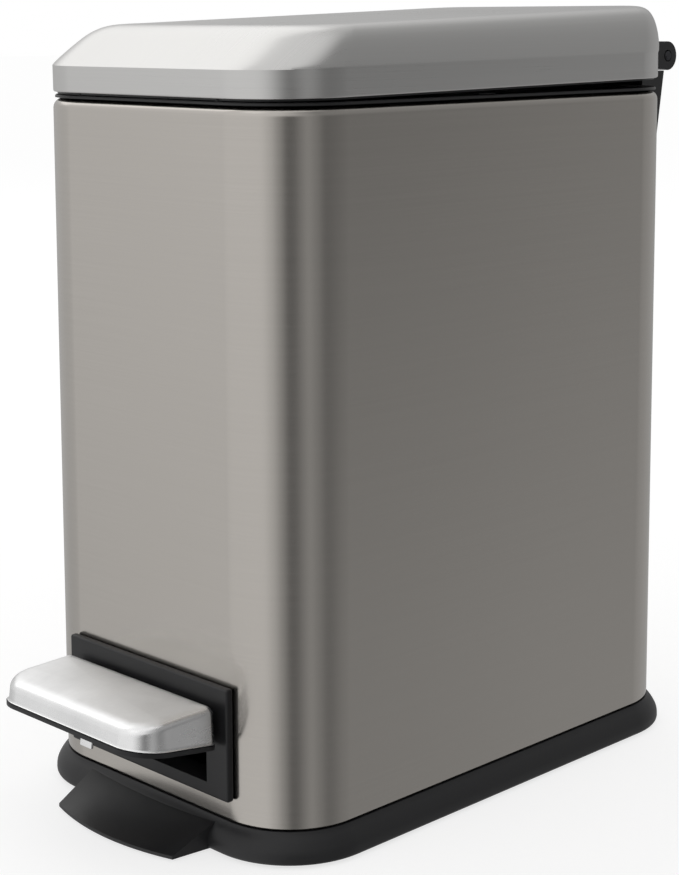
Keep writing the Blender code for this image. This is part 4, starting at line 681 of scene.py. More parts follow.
def build_core():
    inset = CAP_SHEET + SEAT_GAP

    def lip_top(y):
        return pedal_edge(y) - SEAT_GAP

    rings = [pedal_ring(-LIP_PROUD, lambda y: lip_top(y) - LIP_THICKNESS)]
    rings += [pedal_ring(-LIP_PROUD, lip_top), pedal_ring(inset, lip_top)]
    core = loft("pedal_inner", rings + cap_rings(inset, inset, lip_top)[-2::-1])
    front = pedal_local(PEDAL_FRONT_Y, pedal_edge(PEDAL_FRONT_Y))[0]
    rear, edge = pedal_local(PEDAL_REAR_Y, PEDAL_EDGE_Z)
    low_z = edge - 2 * LIP_THICKNESS
    side = LEVER_FRONT_HALF + SEAT_GAP
    height = (low_z, LEVER_CHANNEL / 2 + SEAT_GAP)
    cut(core, slab("core_channel_cut", side, (LEVER_NOSE, rear + LIP_PROUD + OVERRUN), height))
    inside = PEDAL_HALF_WIDTH - inset - CORE_RIM
    span = (inside - side - CORE_RIM) / CORE_POCKETS
    roof_y = AXLE_Y + (front + CAP_ROUND) * math.cos(LEVER_REST_ANGLE)
    roof = pedal_local(roof_y, pedal_top(roof_y))[1] - inset - CORE_ROOF
    for name, direction in SIDES:
        for i in range(CORE_POCKETS):
            start = direction * (side + CORE_RIM + span * i)
            end = start + direction * (span - CORE_RIB)
            low_x, high_x = sorted((start, end))
            deep = PEDAL_FRONT_RADIUS / 2 if i else CORE_RIM
            low = (low_x, front + inset + CORE_RIM + deep, low_z)
            high = (high_x, rear - inset - CORE_RIM - CAP_SHEET, roof)
            cut(core, box(f"core_pocket_{name}_{i + 1}", low, high))
    screw_radius = SCREW_RADIUS + SEAT_GAP
    for name, y in (("front", PEDAL_SCREW_IN - LEVER_FRONT_REACH), ("rear", rear - PEDAL_SCREW_IN)):
        over = AXLE_Y + y * math.cos(LEVER_REST_ANGLE)
        top = pedal_local(over, pedal_top(over))[1] - inset - CORE_ROOF / 2
        cut(core, cylinder(f"core_screw_cut_{name}", screw_radius, "Z", (0, y, 0), 0, top))
    return soften(core, LIP_THICKNESS / 6)


def build_tongue():
    """The bright tip of the lever that shows under the pedal's front edge."""
    height = (-LEVER_CHANNEL / 2 - TONGUE_DROP, -LEVER_CHANNEL / 4)
    tongue = slab("lever_tongue", TONGUE_HALF_WIDTH, (LEVER_NOSE - TONGUE_SHEET, LEVER_NOSE), height)
    return soften(tongue, TONGUE_SHEET / 3)


# Lid


def lid_ring(insets, radii, height):
    front, side, rear = insets
    ends = -HINGE_SETBACK - BODY_DEPTH + front, -HINGE_SETBACK - rear
    return rounded_ring(HALF_WIDTH - side, *ends, *radii, height)


def band_rings(*profile):
    return [lid_ring([inset] * 3, [BODY_CORNER - inset] * 2, height) for inset, height in profile]


def lid_top(y):
    along = (y + HINGE_SETBACK + BODY_DEPTH) / BODY_DEPTH
    return LID_RISE + LID_SLOPE * BODY_DEPTH * along - LID_SAG * (1 - (2 * along - 1) ** 2)


def dome_inset(depth, bulge, share):
    return depth * (1 - (1 - share) ** (2 / bulge))


def slope_inset(share):
    """The front slope's profile: straight first, then rounding over into the crown."""
    straight = LID_FRONT_STRAIGHT
    level = (1 - (1 - share) ** 2) * (1 + straight) / 2
    if level > straight:
        left = max(1 - 2 * (level - straight) / (1 - straight), 0)
        level = straight + (1 - straight) * (1 - math.sqrt(left))
    return LID_FRONT_DEPTH * level


def dome_rings(offset, steps):
    """Rings from the top of the band to the edge of the crown, for a skin lying the offset inside the cover's."""
    rings = []
    for i in range(1, steps + 1):
        share = i / steps
        height = 1 - (1 - share) ** 2
        lean = share * math.pi / 2
        inward, down = offset * math.cos(lean), offset * math.sin(lean)
        eased = share**LID_CORNER_EASE
        tops = (LID_TOP_FRONT_RADIUS, LID_TOP_REAR_RADIUS)
        radii = [BODY_CORNER + (top - BODY_CORNER) * eased - inward for top in tops]
        insets = (
            slope_inset(share) + inward,
            dome_inset(LID_SIDE_DEPTH, LID_SIDE_BULGE, share) + inward,
            dome_inset(LID_REAR_DEPTH, LID_REAR_BULGE, share) + inward,
        )

        def level(y, height=height, down=down):
            return CREASE + lid_top(y) * height - down

        rings.append(lid_ring(insets, radii, level))
    return rings


def crown_rings(edge, steps):
    depths = [point.y for point in edge]
    middle = (min(depths) + max(depths)) / 2
    rings = []
    for i in range(1, steps):
        share = 1 - i / steps
        rise = LID_CROWN * (1 - share * share)
        ring = []
        for point in edge:
            y = middle + (point.y - middle) * share
            z = point.z + lid_top(y) - lid_top(point.y) + rise
            ring.append(Vector((point.x * share, y, z)))
        rings.append(ring)
    return rings


def lid_skin(offset, dome_steps, crown_steps):
    """Rings from the middle of the crown out and down to the top of the band."""
    dome = dome_rings(offset, dome_steps)
    return (dome + crown_rings(dome[-1], crown_steps))[::-1]


def build_cover():
    bottom, sheet = SKIRT_BOTTOM - LID_SKIRT_SHOW, LID_SHEET
    hem = [(sheet * (1 - math.cos(turn)), bottom + sheet * (1 - math.sin(turn))) for turn in LID_HEM_TURNS]
    rings = lid_skin(0, *COVER_STEPS) + band_rings(
        (0, CREASE), (0, bottom + sheet), *hem, (sheet, bottom), (LID_HEM, bottom), (LID_HEM, bottom + sheet),
        (sheet, bottom + 2 * sheet), (sheet, CREASE),
    )
    cover = loft("lid_skin", rings + lid_skin(sheet, *COVER_INSIDE_STEPS)[::-1])
    depth = (-HINGE_SETBACK - BODY_CORNER / 2, -HINGE_SETBACK + OVERRUN)
    height = (bottom - OVERRUN, ARM_PLATE_TOP + ARM_PLATE_GAP)
    cut(cover, slab("arm_notch", HINGE_HALF_WIDTH + ARM_PLATE_GAP, depth, height))
    return bake(cover)


def cut_arm_screws(piece, start, end):
    """Bores for the two screws that hold the arms' plate in the liner's pocket."""
    x = (BARREL_START + HINGE_HALF_WIDTH - ARM_WIDTH) / 2
    for name, side in SIDES:
        centre = (side * x, 0, ARM_PLATE_TOP - KNUCKLE_RADIUS)
        cut(piece, cylinder(f"arm_screw_cut_{name}", SCREW_RADIUS + SEAT_GAP, "Y", centre, start, end))


def build_liner():
    bottom = SKIRT_BOTTOM
    outer = LID_SHEET + SEAT_GAP
    inner = outer + LINER_WALL
    flange_bottom, hem_top = bottom - LINER_DROP - SEAT_GAP, bottom + 3 * LID_SHEET
    clear = LID_HEM + SEAT_GAP
    rings = lid_skin(outer, *LINER_OUTSIDE_STEPS) + band_rings(
        (outer, CREASE), (clear, hem_top), (clear, flange_bottom), (LINER_FLANGE, flange_bottom),
        (LINER_FLANGE, bottom + SEAT_GAP), (inner, hem_top), (inner, CREASE),
    )
    liner = loft("lid_lining", rings + lid_skin(inner, *LINER_INSIDE_STEPS)[::-1])
    middle = outer + LINER_WALL / 2
    band = band_rings((middle, CREASE), (middle, flange_bottom))
    core = loft("liner_core", lid_skin(middle, *LINER_CORE_STEPS) + band)
    half, wall = HINGE_HALF_WIDTH + ARM_PLATE_GAP, POCKET_WALL
    front, top = ARM_PLATE_FRONT - ARM_PLATE_GAP, ARM_PLATE_TOP + ARM_PLATE_GAP
    height = (flange_bottom + LINER_DROP / 2, top + wall)
    helpers = [slab("pocket_block", half + wall, (front - wall, 0), height)]
    centre = -HINGE_SETBACK - HALF_DEPTH
    for i, share in enumerate(LINER_RIB_SHARES, 1):
        y = centre + share * HALF_DEPTH
        roof = CREASE + lid_top(y) - inner
        depth = (y - LINER_RIB_WIDTH / 2, y + LINER_RIB_WIDTH / 2)
        height = (roof - LINER_RIB_DEPTH, roof + LINER_RIB_DEPTH)
        helpers.append(slab(f"liner_rib_{i}", HALF_WIDTH, depth, height))
    for helper in helpers:
        combine(helper, add_object("liner_core_copy", core.data.copy()), "INTERSECT")
        join(liner, bake(helper))
    bpy.data.objects.remove(core, do_unlink=True)
    bake(liner)
    cut(liner, slab("pocket_cut", half, (front, OVERRUN), (bottom - LINER_DROP - OVERRUN, top)))
    cut_arm_screws(liner, front - wall - OVERRUN, 0)
    return bake(liner)


# Hinge


def bracket_depth(z):
    share = (BRACKET_TOP - z) / BRACKET_HEIGHT
    return BRACKET_TOP_DEPTH + (BRACKET_BOTTOM_DEPTH - BRACKET_TOP_DEPTH) * share


def bracket_ring(half, z, inset):
    rear = HALF_DEPTH + bracket_depth(z) - inset
    front = HALF_DEPTH - BODY_CORNER / 2
    radius = max(min(BRACKET_ROUND, bracket_depth(z) / 2) - inset / 2, BRACKET_WALL / 2)
    right = arc((half - radius, rear - radius), radius, 0, 90)
    left = arc((radius - half, rear - radius), radius, 90, 180)
    return [Vector((x, y, z)) for x, y in [(half, front), *right, *left, (-half, front)]]


def bracket_rings(inset):
    corner = (HINGE_HALF_WIDTH - BRACKET_CORNER, BRACKET_BOTTOM + BRACKET_CORNER)
    levels = arc(corner, BRACKET_CORNER - inset, -90, 0, 2 * ARC_STEPS)
    levels.append((HINGE_HALF_WIDTH - inset, BRACKET_TOP - inset))
    return [bracket_ring(half, z, inset) for half, z in levels]


def build_bracket():
    bracket = loft("hinge_cover", bracket_rings(0))
    cut(bracket, loft("bracket_hollow", bracket_rings(BRACKET_WALL)))
    start, end = BARREL_START, HINGE_HALF_WIDTH - ARM_WIDTH - SIDE_GAP
    outline = arc((HINGE_Y, HINGE_Z), KNUCKLE_SHOWN, -60, 240, 3 * ARC_STEPS)
    foot = BRACKET_TOP - BRACKET_WALL / 2
    rear = HALF_DEPTH + bracket_depth(BRACKET_TOP) - BRACKET_WALL / 3
    outline += [(rear - 2 * BRACKET_WEB, foot), (rear, foot)]
    join_pair(bracket, "barrel", outline, start, end)
    hole = PIN_RADIUS + PIVOT_GAP
    centre = (0, HINGE_Y, HINGE_Z)
    cut(bracket, cylinder("barrel_bore", hole, "X", centre, -end - OVERRUN, end + OVERRUN))
    height = (BRACKET_TOP - 2 * BRACKET_WALL, BRACKET_TOP + OVERRUN)
    cut(bracket, slab("mouth_cut", BRACKET_MOUTH_HALF, (HALF_DEPTH - OVERRUN, HINGE_Y + KNUCKLE_RADIUS), height))
    shell_space = [body_ring(-SEAT_GAP, z) for z in (BRACKET_BOTTOM - OVERRUN, SHELL_TOP + SEAT_GAP)]
    cut(bracket, loft("shell_cut", shell_space))
    height = (SHELL_TOP - OVERRUN, BRACKET_TOP + OVERRUN)
    cut(bracket, slab("seam_cut", HALF_WIDTH, (0, HALF_DEPTH + SEAT_GAP), height))
    return soften(bracket, BRACKET_ROUND / 6)


def centre_arm_outline():
    end_radius = ROD_RADIUS + HOOK_SLOT_PLAY + HOOK_WALL
    lean = math.degrees(SLOT_TURN) - 360
    outline = arc((0, 0), KNUCKLE_SHOWN, 90, lean + 90, 2 * ARC_STEPS)
    outline += arc(SLOT_ENDS[1], end_radius, lean + 90, lean - 90, 2 * ARC_STEPS)
    plate = ARM_PLATE_REAR - ARM_PLATE / 2
    return outline + [(plate, -end_radius / 2), (plate, KNUCKLE_SHOWN)]


def build_arms():
    rear = ARM_PLATE_REAR
    arms = slab("hinge_arms", HINGE_HALF_WIDTH, (ARM_PLATE_FRONT, rear), (SKIRT_BOTTOM, ARM_PLATE_TOP))
    outline = arc((0, 0), KNUCKLE_SHOWN, 90, -90, 4 * ARC_STEPS)
    plate = rear - ARM_PLATE / 2
    outline += [(plate, ARM_TAPER - KNUCKLE_RADIUS), (plate, KNUCKLE_SHOWN)]
    join_pair(arms, "arm", outline, HINGE_HALF_WIDTH - ARM_WIDTH, HINGE_HALF_WIDTH)
    join(arms, prism("arm_centre", centre_arm_outline(), -CENTRE_ARM_HALF, CENTRE_ARM_HALF))
    side = HINGE_HALF_WIDTH + OVERRUN
    cut(arms, cylinder("arm_bore", PIN_RADIUS + PIVOT_GAP, "X", (0, 0, 0), -side, side))
    near, far = SLOT_ENDS
    radius = ROD_RADIUS + HOOK_SLOT_PLAY
    half = CENTRE_ARM_HALF + OVERRUN
    lean = math.degrees(SLOT_TURN)
    outline = arc(far, radius, lean - 90, lean + 90)
    outline += arc(near, radius, lean + 90, lean + 270)
    cut(arms, prism("arm_slot_cut", outline, -half, half))
    cut_arm_screws(arms, ARM_PLATE_FRONT - OVERRUN, rear + OVERRUN)
    return soften(arms, ARM_EDGE, segments=3)


# Bucket


def build_bucket():
    outside, wall, room = BUCKET_OUTSIDE, BUCKET_WALL, BUCKET_REAR_ROOM
    heel, bottom, top = BUCKET_HEEL, BUCKET_BOTTOM, BUCKET_TOP
    under = top - BUCKET_FLANGE
    heel_in = outside + BUCKET_DRAFT + heel
    recess = heel_in - heel + BUCKET_RECESS_IN
    middle = (0, bottom + heel)
    profile = [(recess + BUCKET_RECESS, bottom + BUCKET_RECESS, room), (recess, bottom, room)]
    profile += [(heel_in - out, z, room) for out, z in arc(middle, heel, 270, 360)]
    profile += [(outside, under, room), (FLANGE_OUTSIDE, under), (FLANGE_OUTSIDE, top), (outside + wall, top, room)]
    profile += [(heel_in - out, z, room) for out, z in arc(middle, heel - wall, 360, 270)[:-1]]
    profile.append((heel_in, bottom + wall + BUCKET_RECESS, room))
    bucket = loft("inner_bucket", body_rings(profile))
    radius = BAIL_RADIUS + PIVOT_GAP
    ear_top = BAIL_Z + radius + EAR_CROWN
    for name, side in SIDES:
        outer = side * (HALF_WIDTH - EAR_OUTSIDE)
        low_x, high_x = sorted((outer, outer - side * EAR_THICKNESS))
        low = (low_x, -EAR_HALF_LENGTH, top - EAR_ROOT)
        join(bucket, box(f"ear_{name}", low, (high_x, EAR_HALF_LENGTH, ear_top)))
    cut(bucket, cylinder("bail_bore", radius, "X", (0, 0, BAIL_Z), -HALF_WIDTH, HALF_WIDTH))
    return soften(bucket, BUCKET_EDGE)


# Materials

BODY_STEEL = (0.475, 0.450, 0.418)
# The lid's steel is lighter and more neutral than the body's: part of that lift is painted sheen, standing for the
# brighter reflection that the lid's tilted band catches.
LID_STEEL_AND_SHEEN = (0.560, 0.555, 0.545)
POLISHED = (0.82, 0.82, 0.82)
WIRE = (0.50, 0.50, 0.50)
BURNISHED = (0.055, 0.055, 0.060)
BLACK = (0.011, 0.011, 0.012)
BASE_BLACK = (0.01155, 0.01155, 0.0126)
GREY = (0.045, 0.045, 0.048)
RUBBER = (0.012, 0.012, 0.012)
ACETAL = (0.62, 0.62, 0.60)

# Noise scales on each axis: brushed grain runs along the axes with the small ones
BRUSHED_GRAIN = (9, 9, 2400)
BRUSHED_FINE_GRAIN = (45, 45, 7000)
BRUSHED_CLOUD = (11, 11, 7)
POLISHED_CLOUD = (60, 60, 60)
POLISHED_SCUFF = (900, 60, 200)
PLATED_CLOUD = (160, 160, 160)
PLATED_GRAIN = (2200, 2200, 2200)
PLASTIC_CLOUD = (28, 28, 28)
METAL_RELIEF = 0.0001
PLASTIC_RELIEF = 0.0002
PLASTIC_SHINE = 0.38
BASE_SHINE = 0.45

# Where the surface turns from the sides to the top, by the upward part of its normal
LID_TURN = (0.25, 0.60)
PEDAL_TURN = (0.80, 0.97)


def node(tree, kind, inputs=None, **settings):
    made = tree.nodes.new(kind)
    for key, value in settings.items():
        setattr(made, key, value)
    for key, value in (inputs or {}).items():
        feed(tree, made.inputs[key], value)
    return made


def feed(tree, socket, value):
    """Links the socket to another node's, or sets it to a plain value."""
    if isinstance(value, bpy.types.NodeSocket):
        tree.links.new(value, socket)
    else:
        socket.default_value = value


def start_material(name, roughness, metallic, shine=None):
    material = bpy.data.materials.new(name)
    material.use_nodes = True
    tree = material.node_tree
    shader = tree.nodes["Principled BSDF"]
    shader.inputs["Metallic"].default_value = metallic
    shader.inputs["Roughness"].default_value = roughness
    if shine is not None:
        shader.inputs["Specular IOR Level"].default_value = shine
    place = node(tree, "ShaderNodeTexCoord").outputs["Object"]
    return material, tree, shader, place


def noise(tree, place, scale, detail=2.0, rough=0.5):
    """Noise over the place, with its own scale on each axis."""
    mapped = node(tree, "ShaderNodeMapping", {"Vector": place, "Scale": scale}).outputs["Vector"]
    inputs = {"Vector": mapped, "Scale": 1.0, "Detail": detail, "Roughness": rough}
    return node(tree, "ShaderNodeTexNoise", inputs).outputs["Fac"]


def calculate(tree, operation, *values):
    return node(tree, "ShaderNodeMath", dict(enumerate(values)), operation=operation).outputs[0]


def spread(tree, value, low, high, start=0.3, end=0.7):
    inputs = {"Value": value, "From Min": start, "From Max": end, "To Min": low, "To Max": high}
    return node(tree, "ShaderNodeMapRange", inputs).outputs["Result"]


def blend(tree, factor, ends, data_type, kind):
    mix = node(tree, "ShaderNodeMix", data_type=data_type)
    sockets = [socket for socket in mix.inputs if socket.type == kind and socket.name in ("A", "B")]
    for socket, value in zip(sockets, ends):
        feed(tree, socket, value)
    tree.links.new(factor, mix.inputs["Factor"])
    return next(socket for socket in mix.outputs if socket.type == kind)


def blend_colours(tree, factor, *ends):
    solid = [(*end, 1) if isinstance(end, tuple) else end for end in ends]
    return blend(tree, factor, solid, "RGBA", "RGBA")


def blend_values(tree, factor, *ends):
    return blend(tree, factor, ends, "FLOAT", "VALUE")


def shade(colour, share):
    return tuple(channel * share for channel in colour)


def mottle(tree, value, colour, low, high):
    """The colour, drifting with the value between two shares of itself."""
    return blend_colours(tree, spread(tree, value, 0, 1), shade(colour, low), shade(colour, high))


def upward(tree):
    """The upward part of the surface's normal."""
    normal = node(tree, "ShaderNodeNewGeometry").outputs["Normal"]
    return node(tree, "ShaderNodeSeparateXYZ", {"Vector": normal}).outputs["Z"]


def drive(tree, shader, tone, roughness):
    tree.links.new(tone, shader.inputs["Base Color"])
    tree.links.new(roughness, shader.inputs["Roughness"])


def raise_surface(tree, shader, height, strength, distance):
    bump = node(tree, "ShaderNodeBump", {"Height": height, "Strength": strength, "Distance": distance})
    tree.links.new(bump.outputs["Normal"], shader.inputs["Normal"])


def brushed_steel(name, colour, rough, over_top):
    """Steel with a fine grain that runs level round the sides and, over a lid, from front to rear."""
    material, tree, shader, place = start_material(name, rough, 1)
    top = spread(tree, calculate(tree, "ABSOLUTE", upward(tree)), 0, 1, *LID_TURN) if over_top else None

    def grain(scale, *kind):
        sides = noise(tree, place, scale, *kind)
        return blend_values(tree, top, sides, noise(tree, place, scale[::-1], *kind)) if over_top else sides

    level = grain(BRUSHED_GRAIN, 5, 0.65)
    fine = grain(BRUSHED_FINE_GRAIN, 2, 0.6)
    cloud = noise(tree, place, BRUSHED_CLOUD, 3)
    tone = mottle(tree, level, colour, 0.975, 1.025)
    tone = blend_colours(tree, spread(tree, cloud, 0, 0.3), tone, shade(colour, 0.96))
    streaks, drift = spread(tree, level, rough - 0.02, rough + 0.02), spread(tree, cloud, -0.015, 0.02)
    drive(tree, shader, tone, calculate(tree, "ADD", streaks, drift))
    raise_surface(tree, shader, blend_values(tree, cloud, level, fine), 0.03, METAL_RELIEF)
    return material


def polished_steel():
    """Bright pressed steel, duller on the trodden top than on the sides."""
    material, tree, shader, place = start_material("polished_steel", 0.33, 1)
    cloud = noise(tree, place, POLISHED_CLOUD, 4, 0.6)
    scuff = noise(tree, place, POLISHED_SCUFF, 4, 0.7)
    sides, trodden = spread(tree, scuff, 0.22, 0.30), spread(tree, scuff, 0.48, 0.60)
    worn = blend_values(tree, spread(tree, upward(tree), 0, 1, *PEDAL_TURN), sides, trodden)
    drive(tree, shader, mottle(tree, cloud, POLISHED, 0.94, 1.04), worn)
    raise_surface(tree, shader, blend_values(tree, cloud, cloud, scuff), 0.06, METAL_RELIEF)
    return material


def plated_metal(name, colour):
    material, tree, shader, place = start_material(name, 0.32, 1)
    cloud = noise(tree, place, PLATED_CLOUD, 4, 0.6)
    drive(tree, shader, mottle(tree, cloud, colour, 0.85, 1.12), spread(tree, cloud, 0.26, 0.42))
    raise_surface(tree, shader, noise(tree, place, PLATED_GRAIN), 0.08, METAL_RELIEF)
    return material


def moulded_plastic(name, colour, rough, grain, strength, shine=PLASTIC_SHINE):
    """Plastic with a fine spark-eroded grain and a slow drift in its sheen."""
    material, tree, shader, place = start_material(name, rough, 0, shine)
    pebble = noise(tree, place, (grain, grain, grain), 3, 0.6)
    cloud = noise(tree, place, PLASTIC_CLOUD, 3)
    tone = mottle(tree, pebble, colour, 0.82, 1.22)
    tone = blend_colours(tree, spread(tree, cloud, 0, 0.3), tone, shade(colour, 1.5))
    drift, sparkle = spread(tree, cloud, rough - 0.06, rough + 0.06), spread(tree, pebble, -0.04, 0.04)
    drive(tree, shader, tone, calculate(tree, "ADD", drift, sparkle))
    raise_surface(tree, shader, pebble, strength, PLASTIC_RELIEF)
    return material


# Each look: its slot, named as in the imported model, the function that makes it and what that needs. The hinge pin,
# which alone is burnished, keeps its own slot.
LOOKS = {
    "body_steel": ("brushed_steel", brushed_steel, "brushed_steel_body", BODY_STEEL, 0.20, False),
    # The lid's look is the same steel as the body's, with painted sheen in its lighter colour.
    "lid_steel": ("brushed_steel", brushed_steel, "brushed_steel_lid", LID_STEEL_AND_SHEEN, 0.29, True),
    "polished": ("polished_steel", polished_steel),
    "plated": ("plated_wire", plated_metal, "plated_metal", WIRE),
    "burnished": (None, plated_metal, "burnished_metal", BURNISHED),
    "black": ("black_plastic", moulded_plastic, "black_plastic", BLACK, 0.42, 2600, 0.12),
    "base": ("black_plastic", moulded_plastic, "black_base_plastic", BASE_BLACK, 0.46, 1800, 0.10, BASE_SHINE),
    "grey": ("dark_grey_plastic", moulded_plastic, "dark_grey_plastic", GREY, 0.45, 1500, 0.10),
    "rubber": ("black_rubber", moulded_plastic, "black_rubber", RUBBER, 0.80, 900, 0.25),
    "acetal": ("white_acetal", moulded_plastic, "white_acetal", ACETAL, 0.38, 1200, 0.06),
}


# Stage: floor, studio and camera

FLOOR_SIZE = 12
FLOOR_TONE = 0.34
FLOOR_LIFT = 0.72
WORLD_LEVEL = 0.78
WHITE = (1.0, 1.0, 1.0)
TENT_RADIUS = 4
STUDIO_MIDDLE = (0, 0, 0.15)

# Name, degrees round from the front and up from level, distance, width, height and brightness
LAMPS = (
    ("key_softbox", -98, 43, 2.2, 2.3, 1.55, 0.55),
    ("front_softbox", -14, 52, 2.2, 0.9, 0.7, 0.25),
)
LAMP_COLOUR = (1.0, 0.995, 0.98)

CAMERA_LENS = 79.8
CAMERA_SENSOR = 36
CAMERA_SHIFT = -0.17
CAMERA_CLIP = (0.05, 50)
CAMERA_PLACE = (0.51764, -0.51813, 0.28406)
CAMERA_TURN, CAMERA_DIP, CAMERA_ROLL = 0.7914, 0.13872, -0.00376

# Share of the white background that each part of the studio's scrim lets through, by the angle round from the front:
# below the bin's level, where the lower body reflects it, then from level up, then above that
FOOT_SCRIM = (
    (-180, 0.46), (-135, 0.52), (-80, 0.56), (-60, 0.60), (-52, 0.72), (-46, 0.81), (-38, 0.86), (12, 0.88),
    (24, 0.70), (36, 0.42), (47, 0.16), (56, 0.21), (62, 0.32), (73, 0.44), (84, 0.34), (97, 0.23), (124, 0.34),
    (133, 0.36), (143, 0.43), (156, 0.48), (180, 0.50),
)
LOW_SCRIM = (
    (-180, 0.46), (-165, 0.44), (-150, 0.35), (-130, 0.35), (-110, 0.56), (-80, 0.70), (-60, 0.75), (-52, 0.85),
    (-46, 0.90), (-38, 0.92), (12, 0.92), (24, 0.76), (36, 0.46), (47, 0.17), (56, 0.21), (62, 0.32), (73, 0.44),
    (84, 0.34), (97, 0.20), (112, 0.22), (124, 0.24), (133, 0.25), (141, 0.31), (150, 0.41), (180, 0.46),
)
HIGH_SCRIM = (
    (-180, 0.50), (-155, 0.70), (-135, 0.85), (-90, 0.95), (0, 1.0), (30, 0.90), (51, 0.70), (70, 0.50), (95, 0.33),
    (140, 0.35), (180, 0.50),
)
# Degrees up over which one scrim gives way to the next, the last of them to plain white
SCRIM_CHANGES = ((-20, 0), (12, 28), (58, 75))


def bare_tree(owner):
    """The emptied node tree of a new material or world."""
    owner.use_nodes = True
    owner.node_tree.nodes.clear()
    return owner.node_tree


def seen_directly(tree):
    """1 for the camera's own rays, reflected and refracted ones too, and 0 for the light that falls on things."""
    path = node(tree, "ShaderNodeLightPath")
    seen = calculate(tree, "MAXIMUM", path.outputs["Is Camera Ray"], path.outputs["Is Glossy Ray"])
    return calculate(tree, "MAXIMUM", seen, path.outputs["Is Transmission Ray"])


def make_floor():
    shape = bmesh.new()
    bmesh.ops.create_grid(shape, x_segments=8, y_segments=8, size=FLOOR_SIZE)
    floor = to_object("floor", shape)
    material = bpy.data.materials.new("pale_floor")
    tree = bare_tree(material)
    lift = calculate(tree, "MULTIPLY", seen_directly(tree), FLOOR_LIFT)
    paper = node(tree, "ShaderNodeBsdfDiffuse", {"Color": (FLOOR_TONE, FLOOR_TONE, FLOOR_TONE, 1)})
    glow = node(tree, "ShaderNodeEmission", {"Color": (*WHITE, 1), "Strength": lift})
    both = node(tree, "ShaderNodeAddShader", {0: paper.outputs[0], 1: glow.outputs[0]})
    node(tree, "ShaderNodeOutputMaterial", {"Surface": both.outputs[0]})
    floor.data.materials.append(material)
    floor.visible_glossy = False


def ramp(tree, value, stops):
    made = node(tree, "ShaderNodeValToRGB", {"Fac": value})
    made.color_ramp.interpolation = "EASE"
    elements = made.color_ramp.elements
    while len(elements) > 1:
        elements.remove(elements[0])
    for i, (angle, level) in enumerate(stops):
        spot = angle / 360 + 0.5
        element = elements[0] if i == 0 else elements.new(spot)
        element.position = spot
        element.color = (level, level, level, 1)
    return made.outputs["Color"]


def make_scrim():
    """A tent of scrim cloth round the bin, which only its reflections show: it dims the white background."""
    shape = bmesh.new()
    bmesh.ops.create_uvsphere(shape, u_segments=48, v_segments=24, radius=TENT_RADIUS)
    tent = to_object("studio_scrim", shape)
    tent.location = STUDIO_MIDDLE
    material = bpy.data.materials.new("studio_scrim")
    tree = bare_tree(material)
    place = node(tree, "ShaderNodeTexCoord").outputs["Object"]
    parts = node(tree, "ShaderNodeSeparateXYZ", {"Vector": place})
    x, y, z = (parts.outputs[letter] for letter in "XYZ")
    turn = calculate(tree, "ARCTAN2", x, calculate(tree, "MULTIPLY", y, -1.0))
    around = spread(tree, turn, 0, 1, -math.pi, math.pi)
    tone, low, high = (ramp(tree, around, scrim) for scrim in (FOOT_SCRIM, LOW_SCRIM, HIGH_SCRIM))
    for angles, above in zip(SCRIM_CHANGES, (low, high, WHITE)):
        heights = [TENT_RADIUS * math.sin(math.radians(angle)) for angle in angles]
        tone = blend_colours(tree, spread(tree, z, 0, 1, *heights), tone, above)
    cloth = node(tree, "ShaderNodeBsdfTransparent", {"Color": tone})
    node(tree, "ShaderNodeOutputMaterial", {"Surface": cloth.outputs[0]})
    tent.data.materials.append(material)
    tent.visible_camera = tent.visible_diffuse = tent.visible_transmission = tent.visible_shadow = False


def turned(place, *turns):
    """The frame after each of the turns, an angle and its axis, about its own axes."""
    for angle, axis in turns:
        place = place @ Matrix.Rotation(angle, 4, axis)
    return place


def make_lamp(name, azimuth, elevation, distance, width, height, radiance):
    """A softbox, its light given as the brightness of its face."""
    lamp = bpy.data.lights.new(name, "AREA")
    lamp.shape = "RECTANGLE"
    lamp.size, lamp.size_y = width, height
    lamp.energy = radiance * math.pi * width * height
    lamp.color = LAMP_COLOUR
    made = add_object(name, lamp)
    turns = (math.radians(azimuth), "Z"), (math.radians(90 - elevation), "X")
    aim = turned(Matrix.Translation(STUDIO_MIDDLE), *turns)
    made.matrix_world = aim @ Matrix.Translation((0, 0, distance))
    made.visible_camera = False


def make_world():
    world = bpy.data.worlds.new("white_studio")
    bpy.context.scene.world = world
    tree = bare_tree(world)
    strength = blend_values(tree, seen_directly(tree), WORLD_LEVEL, 1.0)
    sky = node(tree, "ShaderNodeBackground", {"Color": (*WHITE, 1), "Strength": strength})
    node(tree, "ShaderNodeOutputWorld", {"Surface": sky.outputs[0]})


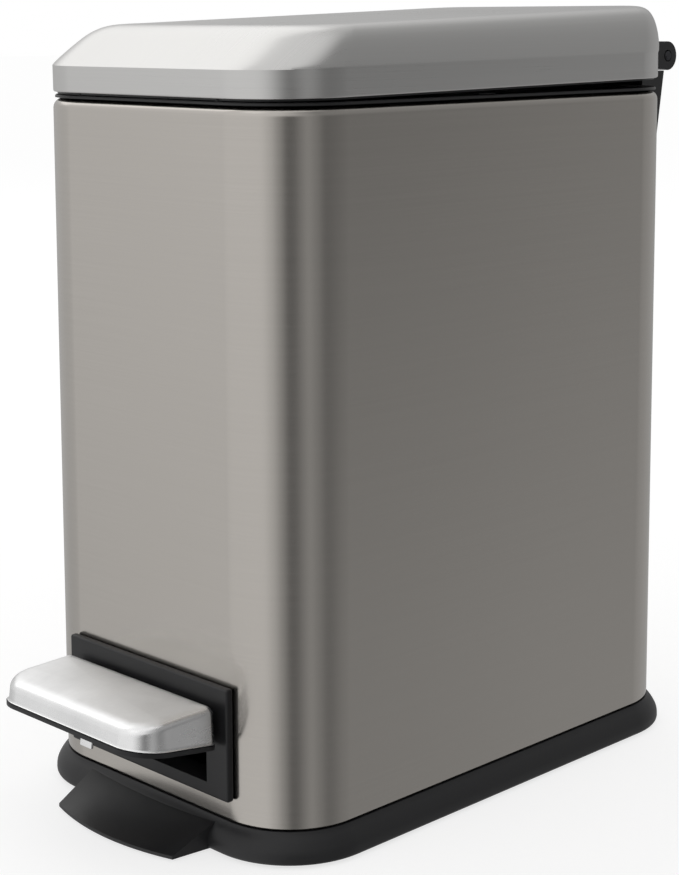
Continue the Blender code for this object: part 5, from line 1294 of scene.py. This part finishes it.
def make_camera():
    camera = bpy.data.cameras.new("camera")
    camera.sensor_width, camera.lens, camera.shift_y = CAMERA_SENSOR, CAMERA_LENS, CAMERA_SHIFT
    camera.clip_start, camera.clip_end = CAMERA_CLIP
    made = add_object("camera", camera)
    turns = (CAMERA_TURN, "Z"), (math.pi / 2 - CAMERA_DIP, "X"), (CAMERA_ROLL, "Z")
    made.matrix_world = turned(Matrix.Translation(CAMERA_PLACE), *turns)
    bpy.context.scene.camera = made


def dress_nodes(looks):
    """Materials for the CAD nodes that stay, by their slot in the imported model."""
    look_of = {}
    for look, (slot, *_) in LOOKS.items():
        look_of.setdefault(slot, look)
    for name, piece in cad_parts.items():
        slots = piece.material_slots
        kind = slots[0].material.name.split(".")[0] if slots and slots[0].material else ""
        look = looks["burnished" if name == "hinge_pin" else look_of.get(kind, "plated")]
        for entry in slots:
            entry.material = look
        if not slots:
            piece.data.materials.append(look)


def main():
    looks = {look: make(*given) for look, (_, make, *given) in LOOKS.items()}
    make_camera()
    make_world()
    make_floor()
    make_scrim()
    for lamp in LAMPS:
        make_lamp(*lamp)
    dress_nodes(looks)
    # Each piece with its frame, its body, its look and the CAD node that it stands for
    for build, place, body, look, *nodes in (
        (build_sleeve, BODY_FRAME, "body", "body_steel", "body_shell"),
        (build_base, BODY_FRAME, "body", "base", "base"),
        (build_rim, BODY_FRAME, "body", "black", "top_rim"),
        (build_bezel, BODY_FRAME, "body", "black", "pedal_frame"),
        (build_bracket, BODY_FRAME, "body", "black", "hinge_bracket"),
        (build_cap, PEDAL_FRAME, "pedal", "polished", "pedal_cap"),
        (build_core, PEDAL_FRAME, "pedal", "black", "pedal_core"),
        (build_tongue, PEDAL_FRAME, "pedal", "polished"),
        (build_cover, LID_FRAME, "lid", "lid_steel", "lid_cover"),
        (build_liner, LID_FRAME, "lid", "black", "lid_liner"),
        (build_arms, LID_FRAME, "lid", "black", "lid_hinge_arms"),
        (build_bucket, BODY_FRAME, "bucket", "grey", "bucket"),
    ):
        settle(build(), place, body, looks[look], LOOKS[look][0], *nodes)
    scene = bpy.context.scene
    scene.view_settings.view_transform = "Standard"


main()
